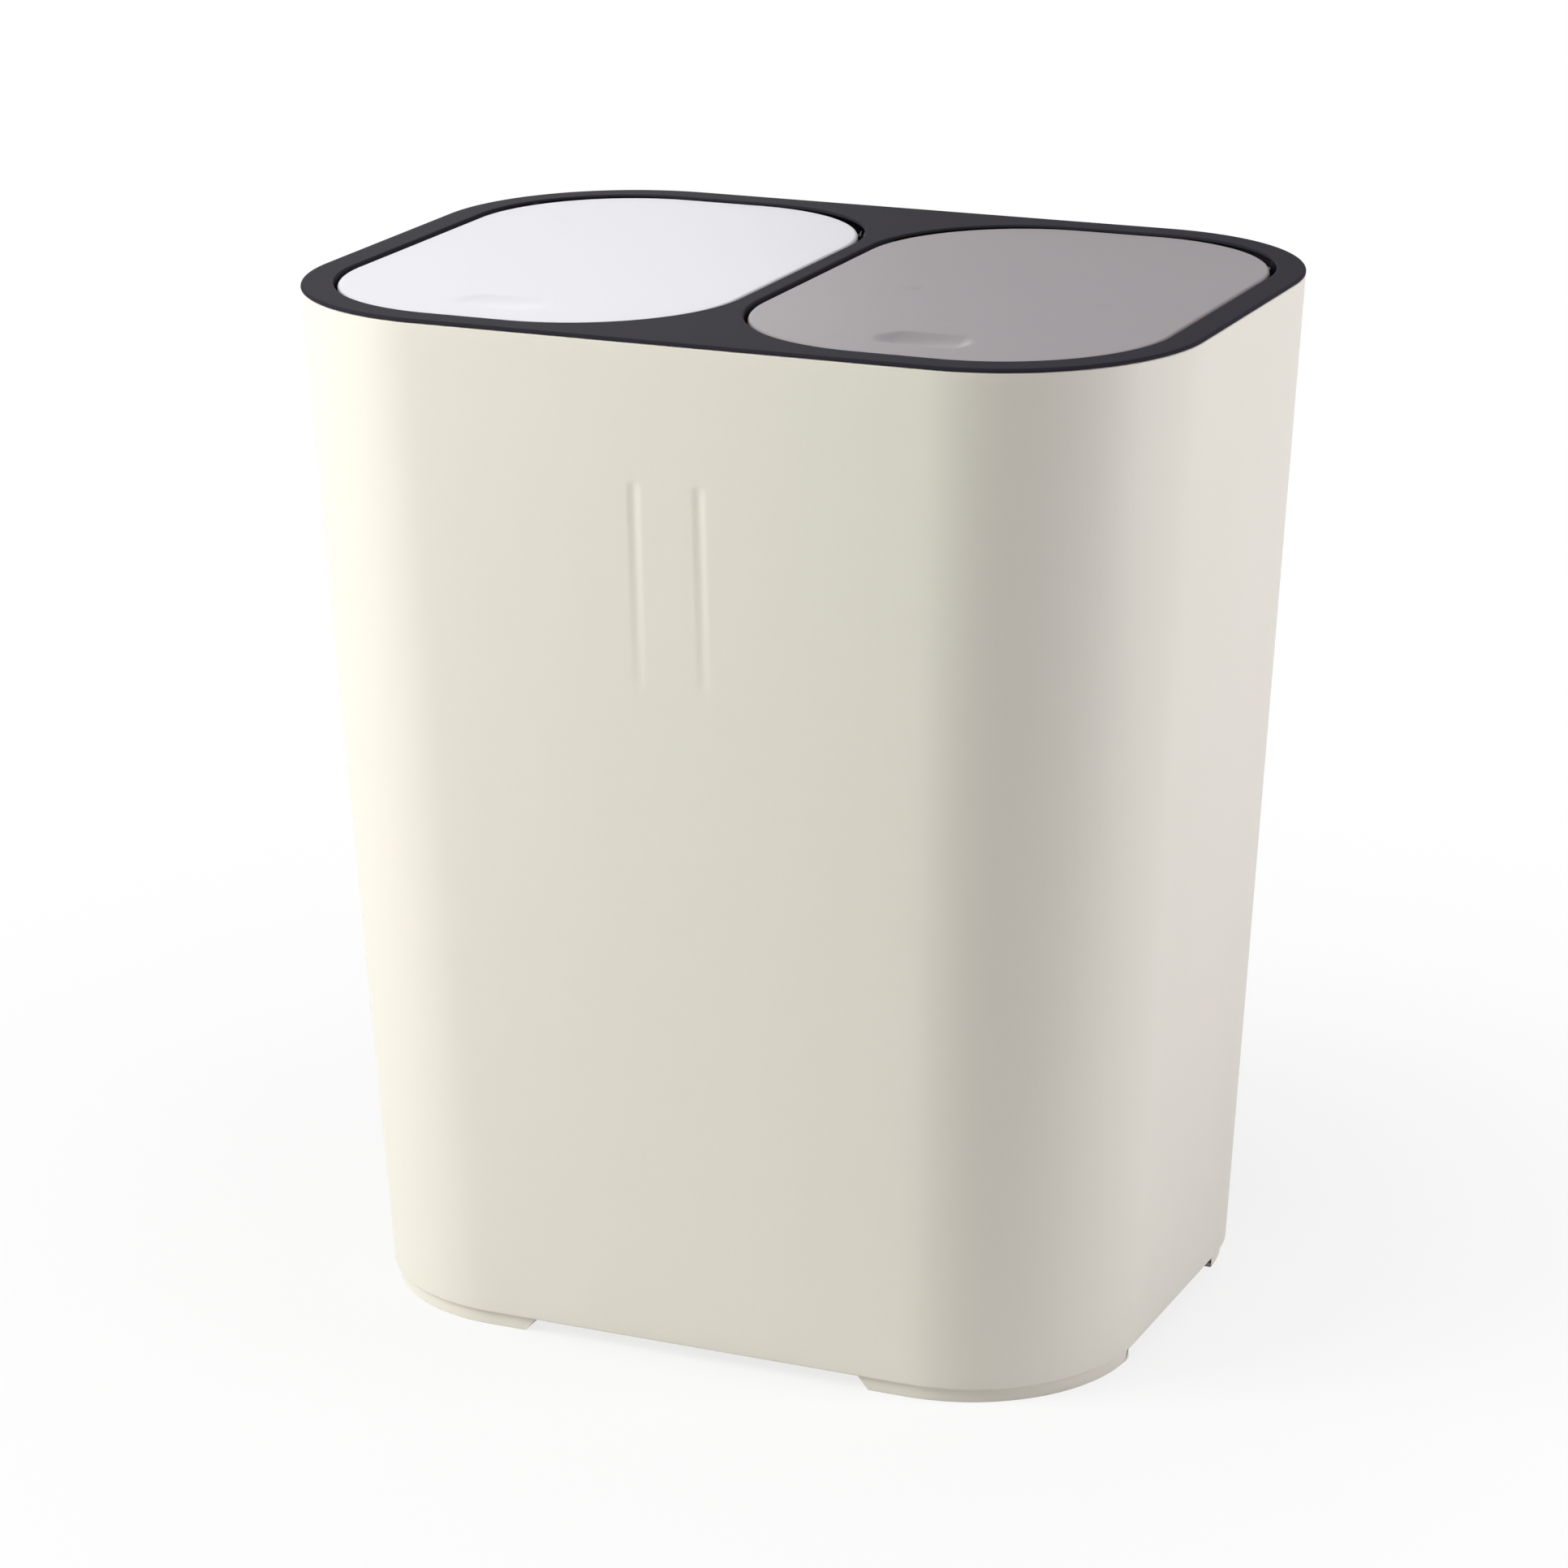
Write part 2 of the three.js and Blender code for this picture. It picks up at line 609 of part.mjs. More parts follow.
/** Low stiffening ribs under the skin, clear of the hinge and the latch. */
function lidRibs() {
  const low = lidTop - LID_SKIN - LID_RIB_DEPTH;
  const high = lidTop - LID_SKIN / 2;
  const reach = lidDepth / 2 - LID_SKIRT_WALL / 2;
  const ribs = [];
  for (const x of [-LID_RIB_SPACING / 2, LID_RIB_SPACING / 2]) {
    ribs.push(block(
      [x - LID_RIB_THICKNESS / 2, x + LID_RIB_THICKNESS / 2],
      [lidCentreY - reach, lidCentreY + reach],
      [low, high],
    ));
  }
  const across = lidWidth / 2 - LID_SKIRT_WALL / 2;
  for (const y of [-LID_RIB_SPACING / 2, LID_RIB_SPACING / 2]) {
    ribs.push(block(
      [-across, across],
      [lidCentreY + y - LID_RIB_THICKNESS / 2, lidCentreY + y + LID_RIB_THICKNESS / 2],
      [low, high],
    ));
  }
  return joined(...ribs);
}

function lid() {
  const { knuckleEnd } = hingeStations();
  const underside = lidTop - LID_SKIN;
  const outside = solid(loft(lidRings()));
  const hollow = slab(lidOutline(LID_SKIRT_WALL), lidTop - LID_SKIRT_DEPTH - 1, underside);
  const boss = dimpleTool(DIMPLE_BOSS_WALL).intersect(outside);
  let body = joined(outside.subtract(hollow), boss, lidRibs()).subtract(dimpleTool(0));
  for (const hand of [-1, 1]) {
    const start = hand * (knuckleEnd - KNUCKLE_LENGTH);
    const end = hand * knuckleEnd;
    body = body.add(rodX(Math.min(start, end), Math.max(start, end), 0, 0, KNUCKLE_RADIUS));
  }
  return body.subtract(rodX(-lidWidth, lidWidth, 0, 0, PIN_RADIUS + RUNNING_GAP));
}

/** The pin through the lid's knuckles, from the inner boss to the outer one. */
function hingePin(side) {
  const { innerBoss, outerBoss } = hingeStations();
  const inner = -side * (innerBoss + BOSS_LENGTH);
  const outer = side * (outerBoss + BOSS_LENGTH);
  return rodX(Math.min(inner, outer), Math.max(inner, outer), 0, 0, PIN_RADIUS);
}

/** Stations of the torsion spring: lid leg, coil round the pin, frame leg. */
function torsionStations(side) {
  const { coilStart } = hingeStations();
  const down = new THREE.Vector3(0, 0, -1);
  const xAt = (turns) => -side * (coilStart + COIL_PITCH * turns);
  const legStation = (turns, y) => ({
    at: new THREE.Vector3(xAt(turns), y, -COIL_RADIUS),
    along: Y_AXIS.clone(),
    side: down.clone(),
  });
  const stations = [legStation(0, -LID_LEG_LENGTH)];
  const steps = COIL_TURNS * COIL_STEPS;
  for (let i = 0; i <= steps; i++) {
    const turns = i / COIL_STEPS;
    const angle = 2 * Math.PI * turns - halfPi;
    const outward = new THREE.Vector3(0, Math.cos(angle), Math.sin(angle));
    const round = new THREE.Vector3(0, -Math.sin(angle), Math.cos(angle));
    const along = round.multiplyScalar(2 * Math.PI * COIL_RADIUS);
    along.x = -side * COIL_PITCH;
    const at = outward.clone().multiplyScalar(COIL_RADIUS);
    at.x = xAt(turns);
    stations.push({ at, along: along.normalize(), side: outward });
  }
  stations.push(legStation(COIL_TURNS, FRAME_LEG_LENGTH));
  return stations;
}

/** Striker: a flange under the lid's skin with a flat post that stands in the latch. */
function striker() {
  const y = strikerY - hingeY;
  const flangeTop = lidTop - LID_SKIN - SEAT_GAP;
  const flangeBottom = flangeTop - STRIKER_FLANGE;
  const tip = latchTopZ - PLUNGER_TOP_DROP - PLUNGER_SLOT_DEPTH + SEAT_GAP - hingeZ;
  const halfWidth = STRIKER_WIDTH / 2;
  const halfThickness = STRIKER_THICKNESS / 2;
  const over = STRIKER_FLANGE_OVERHANG;
  const flange = block(
    [-halfWidth - over, halfWidth + over],
    [y - halfThickness, y + halfThickness + 2 * over],
    [flangeBottom, flangeTop],
  );
  const bevel = STRIKER_THICKNESS / 3;
  const post = prism([
    [y - halfThickness, flangeBottom + STRIKER_FLANGE / 2],
    [y - halfThickness, tip + bevel],
    [y - halfThickness + bevel, tip],
    [y + halfThickness - bevel, tip],
    [y + halfThickness, tip + bevel],
    [y + halfThickness, flangeBottom + STRIKER_FLANGE / 2],
  ], 'x', -halfWidth, halfWidth);
  return flange.add(post);
}

// ---- Touch latch, drawn from the frame's top face -------------------------------------------

const pocketHalfWidth = PLUNGER_WIDTH / 2 + RUNNING_GAP;
const pocketHalfLength = PLUNGER_LENGTH / 2 + RUNNING_GAP;
const plungerTopZ = latchTopZ - PLUNGER_TOP_DROP;
const plungerBottomZ = plungerTopZ - PLUNGER_HEIGHT;
const pocketFloorZ = latchBottomZ + LATCH_FLOOR;

function latchHousing() {
  const halfWidth = LATCH_WIDTH / 2;
  const body = block(
    [-halfWidth, halfWidth],
    [strikerY - LATCH_LENGTH / 2, strikerY + LATCH_LENGTH / 2],
    [latchBottomZ, latchTopZ],
  );
  const ears = block(
    [-halfWidth - EAR_WIDTH, halfWidth + EAR_WIDTH],
    [earFrontY, earFrontY + EAR_THICKNESS],
    [screwZ - EAR_WIDTH / 2, screwZ + EAR_WIDTH / 2],
  );
  const pocket = block(
    [-pocketHalfWidth, pocketHalfWidth],
    [strikerY - pocketHalfLength, strikerY + pocketHalfLength],
    [pocketFloorZ, latchTopZ + 1],
  );
  return body.add(ears).subtract(pocket).subtract(screwHole(-screwX)).subtract(screwHole(screwX));
}

function latchPlunger() {
  const slotHalf = STRIKER_THICKNESS / 2 + STRIKER_SIDE_PLAY;
  const body = block(
    [-PLUNGER_WIDTH / 2, PLUNGER_WIDTH / 2],
    [strikerY - PLUNGER_LENGTH / 2, strikerY + PLUNGER_LENGTH / 2],
    [plungerBottomZ, plungerTopZ],
  );
  const slot = block(
    [-PLUNGER_WIDTH, PLUNGER_WIDTH],
    [strikerY - slotHalf, strikerY + slotHalf],
    [plungerTopZ - PLUNGER_SLOT_DEPTH, plungerTopZ + 1],
  );
  return body.subtract(slot);
}

/** Stations of the latch's compression spring, standing on the pocket's floor. */
function latchSpringStations() {
  const low = pocketFloorZ + SEAT_GAP + LATCH_WIRE_RADIUS;
  const high = plungerBottomZ - SEAT_GAP - LATCH_WIRE_RADIUS;
  const climb = (high - low) / LATCH_COIL_TURNS;
  const stations = [];
  const steps = LATCH_COIL_TURNS * COIL_STEPS;
  for (let i = 0; i <= steps; i++) {
    const turns = i / COIL_STEPS;
    const angle = 2 * Math.PI * turns;
    const outward = new THREE.Vector3(Math.cos(angle), Math.sin(angle), 0);
    const along = new THREE.Vector3(-Math.sin(angle), Math.cos(angle), 0);
    along.multiplyScalar(2 * Math.PI * LATCH_COIL_RADIUS);
    along.z = climb;
    const at = outward.clone().multiplyScalar(LATCH_COIL_RADIUS);
    at.y += strikerY;
    at.z = low + climb * turns;
    stations.push({ at, along: along.normalize(), side: outward });
  }
  return stations;
}

/** One latch screw: a round head on the ear and a shank into the frame's boss. */
function latchScrew(x) {
  const headY = earFrontY + EAR_THICKNESS + SEAT_GAP;
  const tipY = -skirtOutline(latchBottomZ).halfDepth + SCREW_TIP_WALL + SEAT_GAP;
  const head = rodY(headY, headY + SCREW_HEAD_HEIGHT, x, screwZ, SCREW_HEAD_RADIUS);
  return head.add(rodY(tipY, headY + SCREW_HEAD_HEIGHT / 2, x, screwZ, SCREW_RADIUS));
}

// ---- Inner buckets --------------------------------------------------------------------------

/** Outline at a height from its extent along X and the room inside the shell along Y. */
function bucketOutline(side, z, innerX, clearance) {
  const room = shellOutline(z, SHELL_WALL + clearance);
  return {
    centreX: side * (innerX + room.halfWidth) / 2,
    halfWidth: (room.halfWidth - innerX) / 2,
    halfDepth: room.halfDepth,
    radius: room.radius,
  };
}

const bucketLipOutline = (side) => bucketOutline(side, bucketRimZ, SHELL_WALL / 2, BUCKET_SIDE_CLEARANCE);
const bucketBaseOutline = (side) => bucketOutline(
  side,
  bucketBottomZ + BUCKET_BASE_ROUND,
  SHELL_WALL / 2 + BUCKET_INNER_DRAFT,
  BUCKET_BASE_CLEARANCE,
);

function bucketCup(side) {
  const lip = bucketLipOutline(side);
  const wall = insetOutline(lip, BUCKET_LIP);
  const wallInside = insetOutline(wall, BUCKET_WALL);
  const base = bucketBaseOutline(side);
  const baseInside = insetOutline(base, BUCKET_WALL);
  const lipBottom = bucketRimZ - BUCKET_LIP_THICKNESS;
  const round = BUCKET_BASE_ROUND;
  const halfRound = round * (1 - Math.SQRT1_2);
  return solid(loft([
    ring(insetOutline(base, round), bucketBottomZ),
    ring(insetOutline(base, halfRound), bucketBottomZ + halfRound),
    ring(base, bucketBottomZ + round),
    ring(wall, lipBottom),
    ring(lip, lipBottom),
    ring(lip, bucketRimZ),
    ring(wallInside, bucketRimZ),
    ring(baseInside, bucketBottomZ + round),
    ring(insetOutline(baseInside, halfRound), bucketBottomZ + BUCKET_FLOOR + halfRound / 2),
    ring(insetOutline(baseInside, round), bucketBottomZ + BUCKET_FLOOR),
  ]));
}

const bailZ = bucketRimZ + SEAT_GAP + BAIL_HEIGHT / 2;
const bailInset = SEAT_GAP + BAIL_WIDTH / 2;
const earInset = SEAT_GAP + BAIL_WIDTH + SEAT_GAP;

/** Upright ear on the rim that carries one end of the bail. */
function bailEar(x, halfDepth, hand) {
  const half = BAIL_EAR_WIDTH / 2;
  const crown = BAIL_HEIGHT / 2 + BAIL_PIN_RADIUS;
  const low = bucketRimZ - BUCKET_LIP_THICKNESS / 2;
  const outer = hand * (halfDepth - earInset);
  const inner = hand * (halfDepth - earInset - BAIL_EAR_THICKNESS);
  const profile = [[x - half, low], [x + half, low], [x + half, bailZ]];
  for (let i = 1; i < ROUND_STEPS / 2; i++) {
    const angle = (i / (ROUND_STEPS / 2)) * Math.PI;
    profile.push([x + half * Math.cos(angle), bailZ + crown * Math.sin(angle)]);
  }
  profile.push([x - half, bailZ]);
  return prism(profile, 'y', Math.min(outer, inner), Math.max(outer, inner));
}

function bucket(side) {
  const lip = bucketLipOutline(side);
  const x = lip.centreX;
  return joined(bucketCup(side), bailEar(x, lip.halfDepth, -1), bailEar(x, lip.halfDepth, 1))
    .subtract(rodY(-lip.halfDepth, lip.halfDepth, x, bailZ, BAIL_PIN_RADIUS + RUNNING_GAP));
}

/** Half of a rounded loop, on one side of its middle line, from end to end. */
function halfLoop(outline, side) {
  const quadrants = side > 0 ? [0, 1] : [2, 3];
  const points = quadrants.flatMap((quadrant) => cornerPoints(outline, quadrant));
  const start = new THREE.Vector2(outline.centreX, points[0].y);
  const end = new THREE.Vector2(outline.centreX, points[points.length - 1].y);
  return [start, ...points, end];
}

/** The bail, folded down on the outer half of the rim, with a stub pin at each end. */
function bail(side) {
  const lip = bucketLipOutline(side);
  const outer = halfLoop(insetOutline(lip, SEAT_GAP), side);
  const inner = halfLoop(insetOutline(lip, SEAT_GAP + BAIL_WIDTH), side).reverse();
  const geometry = new THREE.ExtrudeGeometry(new THREE.Shape([...outer, ...inner]), {
    depth: BAIL_HEIGHT - 2 * BAIL_BEVEL,
    bevelEnabled: true,
    bevelThickness: BAIL_BEVEL,
    bevelSize: BAIL_BEVEL,
    bevelOffset: -BAIL_BEVEL,
    bevelSegments: 2,
  });
  geometry.translate(0, 0, bailZ - BAIL_HEIGHT / 2 + BAIL_BEVEL);
  let body = solid(geometry);
  const middle = lip.halfDepth - bailInset;
  const pinEnd = lip.halfDepth - earInset - BAIL_EAR_THICKNESS;
  for (const hand of [-1, 1]) {
    const eyeOuter = middle + BAIL_WIDTH / 2;
    const eyeInner = middle - BAIL_WIDTH / 2;
    const span = (a, b) => [Math.min(hand * a, hand * b), Math.max(hand * a, hand * b)];
    body = body
      .add(rodY(...span(eyeInner, eyeOuter), lip.centreX, bailZ, BAIL_HEIGHT / 2))
      .add(rodY(...span(pinEnd, middle), lip.centreX, bailZ, BAIL_PIN_RADIUS));
  }
  return body;
}

// ---- Assembly -------------------------------------------------------------------------------

/** Everything that swings with or about one lid's hinge pin. */
function lidAssembly(side, word, lidMaterial) {
  const group = new THREE.Group();
  group.position.set(side * lidOffset, hingeY, hingeZ);
  const stations = torsionStations(side);
  console.log(`${word} torsion spring least gap`, leastSelfGap(stations, COIL_WIRE_RADIUS, COIL_STEPS));
  group.add(
    piece(`${word}_lid`, lid(), lidMaterial),
    piece(`${word}_striker`, striker(), naturalPlastic),
    piece(`${word}_hinge_pin`, hingePin(side), zincSteel),
    piece(`${word}_torsion_spring`, wire(stations, COIL_WIRE_RADIUS), springSteel),
  );
  return group;
}

function latchAssembly(side, word) {
  const group = new THREE.Group();
  group.position.set(side * lidOffset, 0, 0);
  const stations = latchSpringStations();
  console.log(`${word} latch spring least gap`, leastSelfGap(stations, LATCH_WIRE_RADIUS, COIL_STEPS));
  group.add(
    piece(`${word}_latch_housing`, latchHousing(), latchPlastic),
    piece(`${word}_latch_plunger`, latchPlunger(), naturalPlastic),
    piece(`${word}_latch_spring`, wire(stations, LATCH_WIRE_RADIUS), springSteel),
    piece(`${word}_latch_screw_a`, latchScrew(-screwX), zincSteel),
    piece(`${word}_latch_screw_b`, latchScrew(screwX), zincSteel),
  );
  return group;
}

const group = new THREE.Group();
const frameGroup = new THREE.Group();
frameGroup.position.z = BIN_HEIGHT;
frameGroup.add(piece('top_frame', topFrame(), charcoalPlastic));
group.add(piece('body_shell', shell(), creamPlastic), frameGroup);

const sides = [[-1, 'left', whitePlastic], [1, 'right', warmGreyPlastic]];
for (const [side, word, lidMaterial] of sides) {
  frameGroup.add(lidAssembly(side, word, lidMaterial), latchAssembly(side, word));
  group.add(
    piece(`${word}_bucket`, bucket(side), bucketPlastic),
    piece(`${word}_bail`, bail(side), latchPlastic),
  );
}

export default group;
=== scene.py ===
"""Double recycling bin: moulded surfaces, finishes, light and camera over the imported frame.

Every length is in metres in the bin's own frame: +Z up, +Y to the back, the origin on the
floor under the middle. Shapes are surfaces worked out with numpy, as a profile carried round
an outline or a grid of two parameters.
"""

import logging
import math
from dataclasses import dataclass
from enum import Enum

import bmesh
import bpy
import numpy as np
from mathutils import Matrix, Vector


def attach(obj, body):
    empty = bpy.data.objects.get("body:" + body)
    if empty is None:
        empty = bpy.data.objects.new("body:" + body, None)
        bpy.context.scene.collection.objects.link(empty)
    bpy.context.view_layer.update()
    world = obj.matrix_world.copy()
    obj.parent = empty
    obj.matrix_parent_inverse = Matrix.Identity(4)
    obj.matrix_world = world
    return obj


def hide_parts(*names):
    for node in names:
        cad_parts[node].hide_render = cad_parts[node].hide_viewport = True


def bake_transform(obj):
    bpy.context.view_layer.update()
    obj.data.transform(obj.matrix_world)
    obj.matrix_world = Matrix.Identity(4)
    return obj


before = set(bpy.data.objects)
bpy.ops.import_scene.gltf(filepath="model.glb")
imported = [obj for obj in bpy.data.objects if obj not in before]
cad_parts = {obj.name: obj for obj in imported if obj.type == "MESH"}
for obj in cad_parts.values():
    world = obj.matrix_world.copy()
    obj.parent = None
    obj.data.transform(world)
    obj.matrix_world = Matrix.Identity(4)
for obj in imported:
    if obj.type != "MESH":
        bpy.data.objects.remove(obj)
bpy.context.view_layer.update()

LOG = logging.getLogger("bin")
MM = 0.001
QUARTER = math.pi / 2
SHARP_ANGLE = math.radians(32)
MIDDLE_HEIGHT = 0.155

Colour = tuple[float, float, float, float]
Point = tuple[float, float]


class Side(Enum):
    """The bin's two halves, by their sign along X."""

    LEFT = -1
    RIGHT = 1

    @property
    def word(self) -> str:
        """The side's word in the pieces' names."""
        return self.name.lower()


# ---------------------------------------------------------------------------- finishes


def linear(*display: float) -> Colour:
    """Turn a display colour of 0 to 255 into linear light with alpha 1.

    Args:
        display: red, green and blue.

    Returns:
        The linear colour.
    """
    value = np.array(display) / 255
    light = np.where(value <= 0.04045, value / 12.92, ((value + 0.055) / 1.055) ** 2.4)
    return (*light.tolist(), 1.0)


class Effect(Enum):
    """Shader node groups that more than one finish uses."""

    GRAIN = "fine_grain"
    MOTTLE = "mould_mottle"
    SPECKS = "dust_specks"
    SCUFF = "handling_scuff"


class NodeTree:
    """A thin layer over a node tree that adds and feeds nodes by short calls."""

    def __init__(self, tree: bpy.types.NodeTree) -> None:
        """Keep the tree and start from none of its nodes."""
        self.tree = tree
        tree.nodes.clear()

    def feed(self, target: bpy.types.NodeSocket, value: object) -> None:
        """Link an output to an input, or set the input to a plain value.

        Args:
            target: the input.
            value: an output to link, or a plain value.
        """
        if isinstance(value, bpy.types.NodeSocket):
            self.tree.links.new(value, target)
        else:
            target.default_value = value

    def add(self, kind: str, **values: object) -> bpy.types.Node:
        """Add a node and set its properties, or feed its inputs where a name is one.

        Args:
            kind: the node's Blender type name.
            values: property or input names, with values or sockets.

        Returns:
            The new node.
        """
        node = self.tree.nodes.new(kind)
        for name, value in values.items():
            if hasattr(node, name):
                setattr(node, name, value)
            else:
                self.feed(node.inputs[name.replace("_", " ")], value)
        return node

    def combine(self, node: bpy.types.Node, *values: object) -> bpy.types.Node:
        """Feed a node's first inputs in their order, as values or sockets.

        Args:
            node: the node.
            values: values or sockets, in the order of its inputs.

        Returns:
            The same node.
        """
        for target, value in zip(node.inputs, values):
            self.feed(target, value)
        return node

    def math(self, operation: str, *values: object) -> bpy.types.NodeSocket:
        """Add a maths node on two sockets or numbers, and give its result."""
        return self.combine(self.add("ShaderNodeMath", operation=operation), *values).outputs[0]

    def blend(self, share: object, first: object, second: object) -> bpy.types.NodeSocket:
        """Mix two colours, each a colour or a socket, by a share.

        Args:
            share: 0 for the first colour, 1 for the second.
            first: a colour or a socket.
            second: a colour or a socket.

        Returns:
            The mixed colour's socket.
        """
        node = self.add("ShaderNodeMix", data_type="RGBA")
        for index, value in ((0, share), (6, first), (7, second)):
            self.feed(node.inputs[index], value)
        return node.outputs[2]


class EffectLibrary:
    """Builds each shared effect once, as a group with named inputs and outputs."""

    def __init__(self) -> None:
        """Build every group."""
        self.groups = {
            Effect.GRAIN: self.grain(),
            Effect.MOTTLE: self.mottle(),
            Effect.SPECKS: self.specks(),
            Effect.SCUFF: self.scuff(),
        }

    def start(self, effect: Effect, sockets: dict[str, float], outputs: list[str]) -> tuple:
        """Make an empty group with a vector input, number inputs and number outputs.

        Args:
            effect: which effect the group is for.
            sockets: number inputs with their defaults.
            outputs: names of the number outputs.

        Returns:
            The layered tree, its input node's outputs and its output node's inputs.
        """
        tree = bpy.data.node_groups.new(effect.value, "ShaderNodeTree")
        tree.interface.new_socket("Position", in_out="INPUT", socket_type="NodeSocketVector")
        for name, default in sockets.items():
            socket = tree.interface.new_socket(name, in_out="INPUT", socket_type="NodeSocketFloat")
            socket.default_value = default
        for name in outputs:
            tree.interface.new_socket(name, in_out="OUTPUT", socket_type="NodeSocketFloat")
        layer = NodeTree(tree)
        return layer, layer.add("NodeGroupInput").outputs, layer.add("NodeGroupOutput").inputs

    def noise(self, layer: NodeTree, entry: object, detail: float) -> bpy.types.NodeSocket:
        """Add a noise texture with some octaves, read at Position with the group's Scale.

        Args:
            layer: the group's tree.
            entry: the group's inputs.
            detail: the number of octaves.

        Returns:
            The noise's socket.
        """
        place, scale = entry["Position"], entry["Scale"]
        noise = layer.add("ShaderNodeTexNoise", Detail=detail, Vector=place, Scale=scale)
        return noise.outputs["Fac"]

    def grain(self) -> bpy.types.NodeTree:
        """Moulded grain: fine noise as a height, and a roughness that follows it.

        Returns:
            The group's tree.
        """
        sockets = {"Scale": 2600.0, "Roughness": 0.45, "Spread": 0.06}
        layer, entry, leave = self.start(Effect.GRAIN, sockets, ["Height", "Roughness"])
        noise = self.noise(layer, entry, 3.0)
        layer.feed(leave["Height"], noise)
        spread = layer.math("MULTIPLY", layer.math("SUBTRACT", noise, 0.5), entry["Spread"])
        layer.feed(leave["Roughness"], layer.math("ADD", spread, entry["Roughness"]))
        return layer.tree

    def mottle(self) -> bpy.types.NodeTree:
        """Slow change of shade in moulded plastic, drawn out along the flow.

        Returns:
            The group's tree.
        """
        sockets = {"Scale": 18.0, "Strength": 0.5}
        layer, entry, leave = self.start(Effect.MOTTLE, sockets, ["Shade"])
        centred = layer.math("SUBTRACT", self.noise(layer, entry, 5.0), 0.5)
        scaled = layer.math("MULTIPLY", centred, entry["Strength"])
        layer.feed(leave["Shade"], layer.math("ADD", scaled, 0.5))
        return layer.tree

    def specks(self) -> bpy.types.NodeTree:
        """Sparse specks: cells whose random number passes a limit, dark near their point.

        Returns:
            The group's tree.
        """
        sockets = {"Scale": 60.0, "Limit": 0.93, "Size": 0.06}
        layer, entry, leave = self.start(Effect.SPECKS, sockets, ["Speck"])
        cells = layer.add("ShaderNodeTexVoronoi", Vector=entry["Position"], Scale=entry["Scale"])
        near = layer.math("LESS_THAN", cells.outputs["Distance"], entry["Size"])
        split = layer.add("ShaderNodeSeparateColor", Color=cells.outputs["Color"])
        chosen = layer.math("GREATER_THAN", split.outputs[0], entry["Limit"])
        layer.feed(leave["Speck"], layer.math("MULTIPLY", near, chosen))
        return layer.tree

    def scuff(self) -> bpy.types.NodeTree:
        """Handling marks: a noise cut off high, so that few thin streaks are left.

        Returns:
            The group's tree.
        """
        sockets = {"Scale": 70.0, "Limit": 0.66, "Softness": 0.1}
        layer, entry, leave = self.start(Effect.SCUFF, sockets, ["Mark"])
        over = layer.math("SUBTRACT", self.noise(layer, entry, 8.0), entry["Limit"])
        low = layer.math("MAXIMUM", layer.math("DIVIDE", over, entry["Softness"]), 0.0)
        layer.feed(leave["Mark"], layer.math("MINIMUM", low, 1.0))
        return layer.tree


@dataclass(frozen=True)
class Finish:
    """One material: a base colour with mottle, grain, specks and handling marks."""

    name: str
    colour: Colour
    shade: Colour
    roughness: float = 0.45
    metallic: float = 0.0
    specular: float = 0.5
    grain_scale: float = 2600.0
    grain_height: float = 0.02
    grain_distance: float = 0.0004
    roughness_spread: float = 0.08
    mottle_scale: float = 16.0
    mottle_strength: float = 0.8
    stretch: tuple[float, float, float] = (1.0, 1.0, 1.0)
    speck_colour: Colour = (0.3, 0.28, 0.25, 1.0)
    speck_scale: float = 45.0
    speck_limit: float = 1.0
    speck_size: float = 0.035
    scuff_scale: float = 60.0
    scuff_limit: float = 0.7
    scuff_lift: float = 0.1

    def settings(self) -> dict[Effect, dict[str, float]]:
        """The shared effects' inputs for this finish.

        Returns:
            Each effect's input names with their values.
        """
        return {
            Effect.GRAIN: {
                "Scale": self.grain_scale,
                "Roughness": self.roughness,
                "Spread": self.roughness_spread,
            },
            Effect.MOTTLE: {"Scale": self.mottle_scale, "Strength": self.mottle_strength},
            Effect.SPECKS: {
                "Scale": self.speck_scale,
                "Limit": self.speck_limit,
                "Size": self.speck_size,
            },
            Effect.SCUFF: {"Scale": self.scuff_scale, "Limit": self.scuff_limit},
        }

    def build(self, effects: EffectLibrary) -> bpy.types.Material:
        """Make the material.

        Args:
            effects: the shared node groups.

        Returns:
            The new material.
        """
        material = bpy.data.materials.new(self.name)
        material.use_nodes = True
        layer = NodeTree(material.node_tree)
        place = layer.add("ShaderNodeTexCoord").outputs["Object"]
        mapping = layer.add("ShaderNodeMapping", Scale=self.stretch, Vector=place)
        outputs = []
        for effect, values in self.settings().items():
            node = layer.add("ShaderNodeGroup", node_tree=effects.groups[effect], **values)
            layer.feed(node.inputs["Position"], mapping.outputs["Vector"])
            outputs.append(node.outputs)
        grain, mottle, specks, scuff = outputs
        tone = layer.blend(mottle["Shade"], self.shade, self.colour)
        lift = layer.math("MULTIPLY", scuff["Mark"], self.scuff_lift)
        bump = layer.add("ShaderNodeBump", Strength=self.grain_height, Height=grain["Height"])
        bump.inputs["Distance"].default_value = self.grain_distance
        surface = layer.add(
            "ShaderNodeBsdfPrincipled",
            Base_Color=layer.blend(specks["Speck"], tone, self.speck_colour),
            Roughness=layer.math("ADD", grain["Roughness"], lift),
            Metallic=self.metallic,
            Specular_IOR_Level=self.specular,
            Normal=bump.outputs["Normal"],
        )
        layer.add("ShaderNodeOutputMaterial", Surface=surface.outputs["BSDF"])
        return material


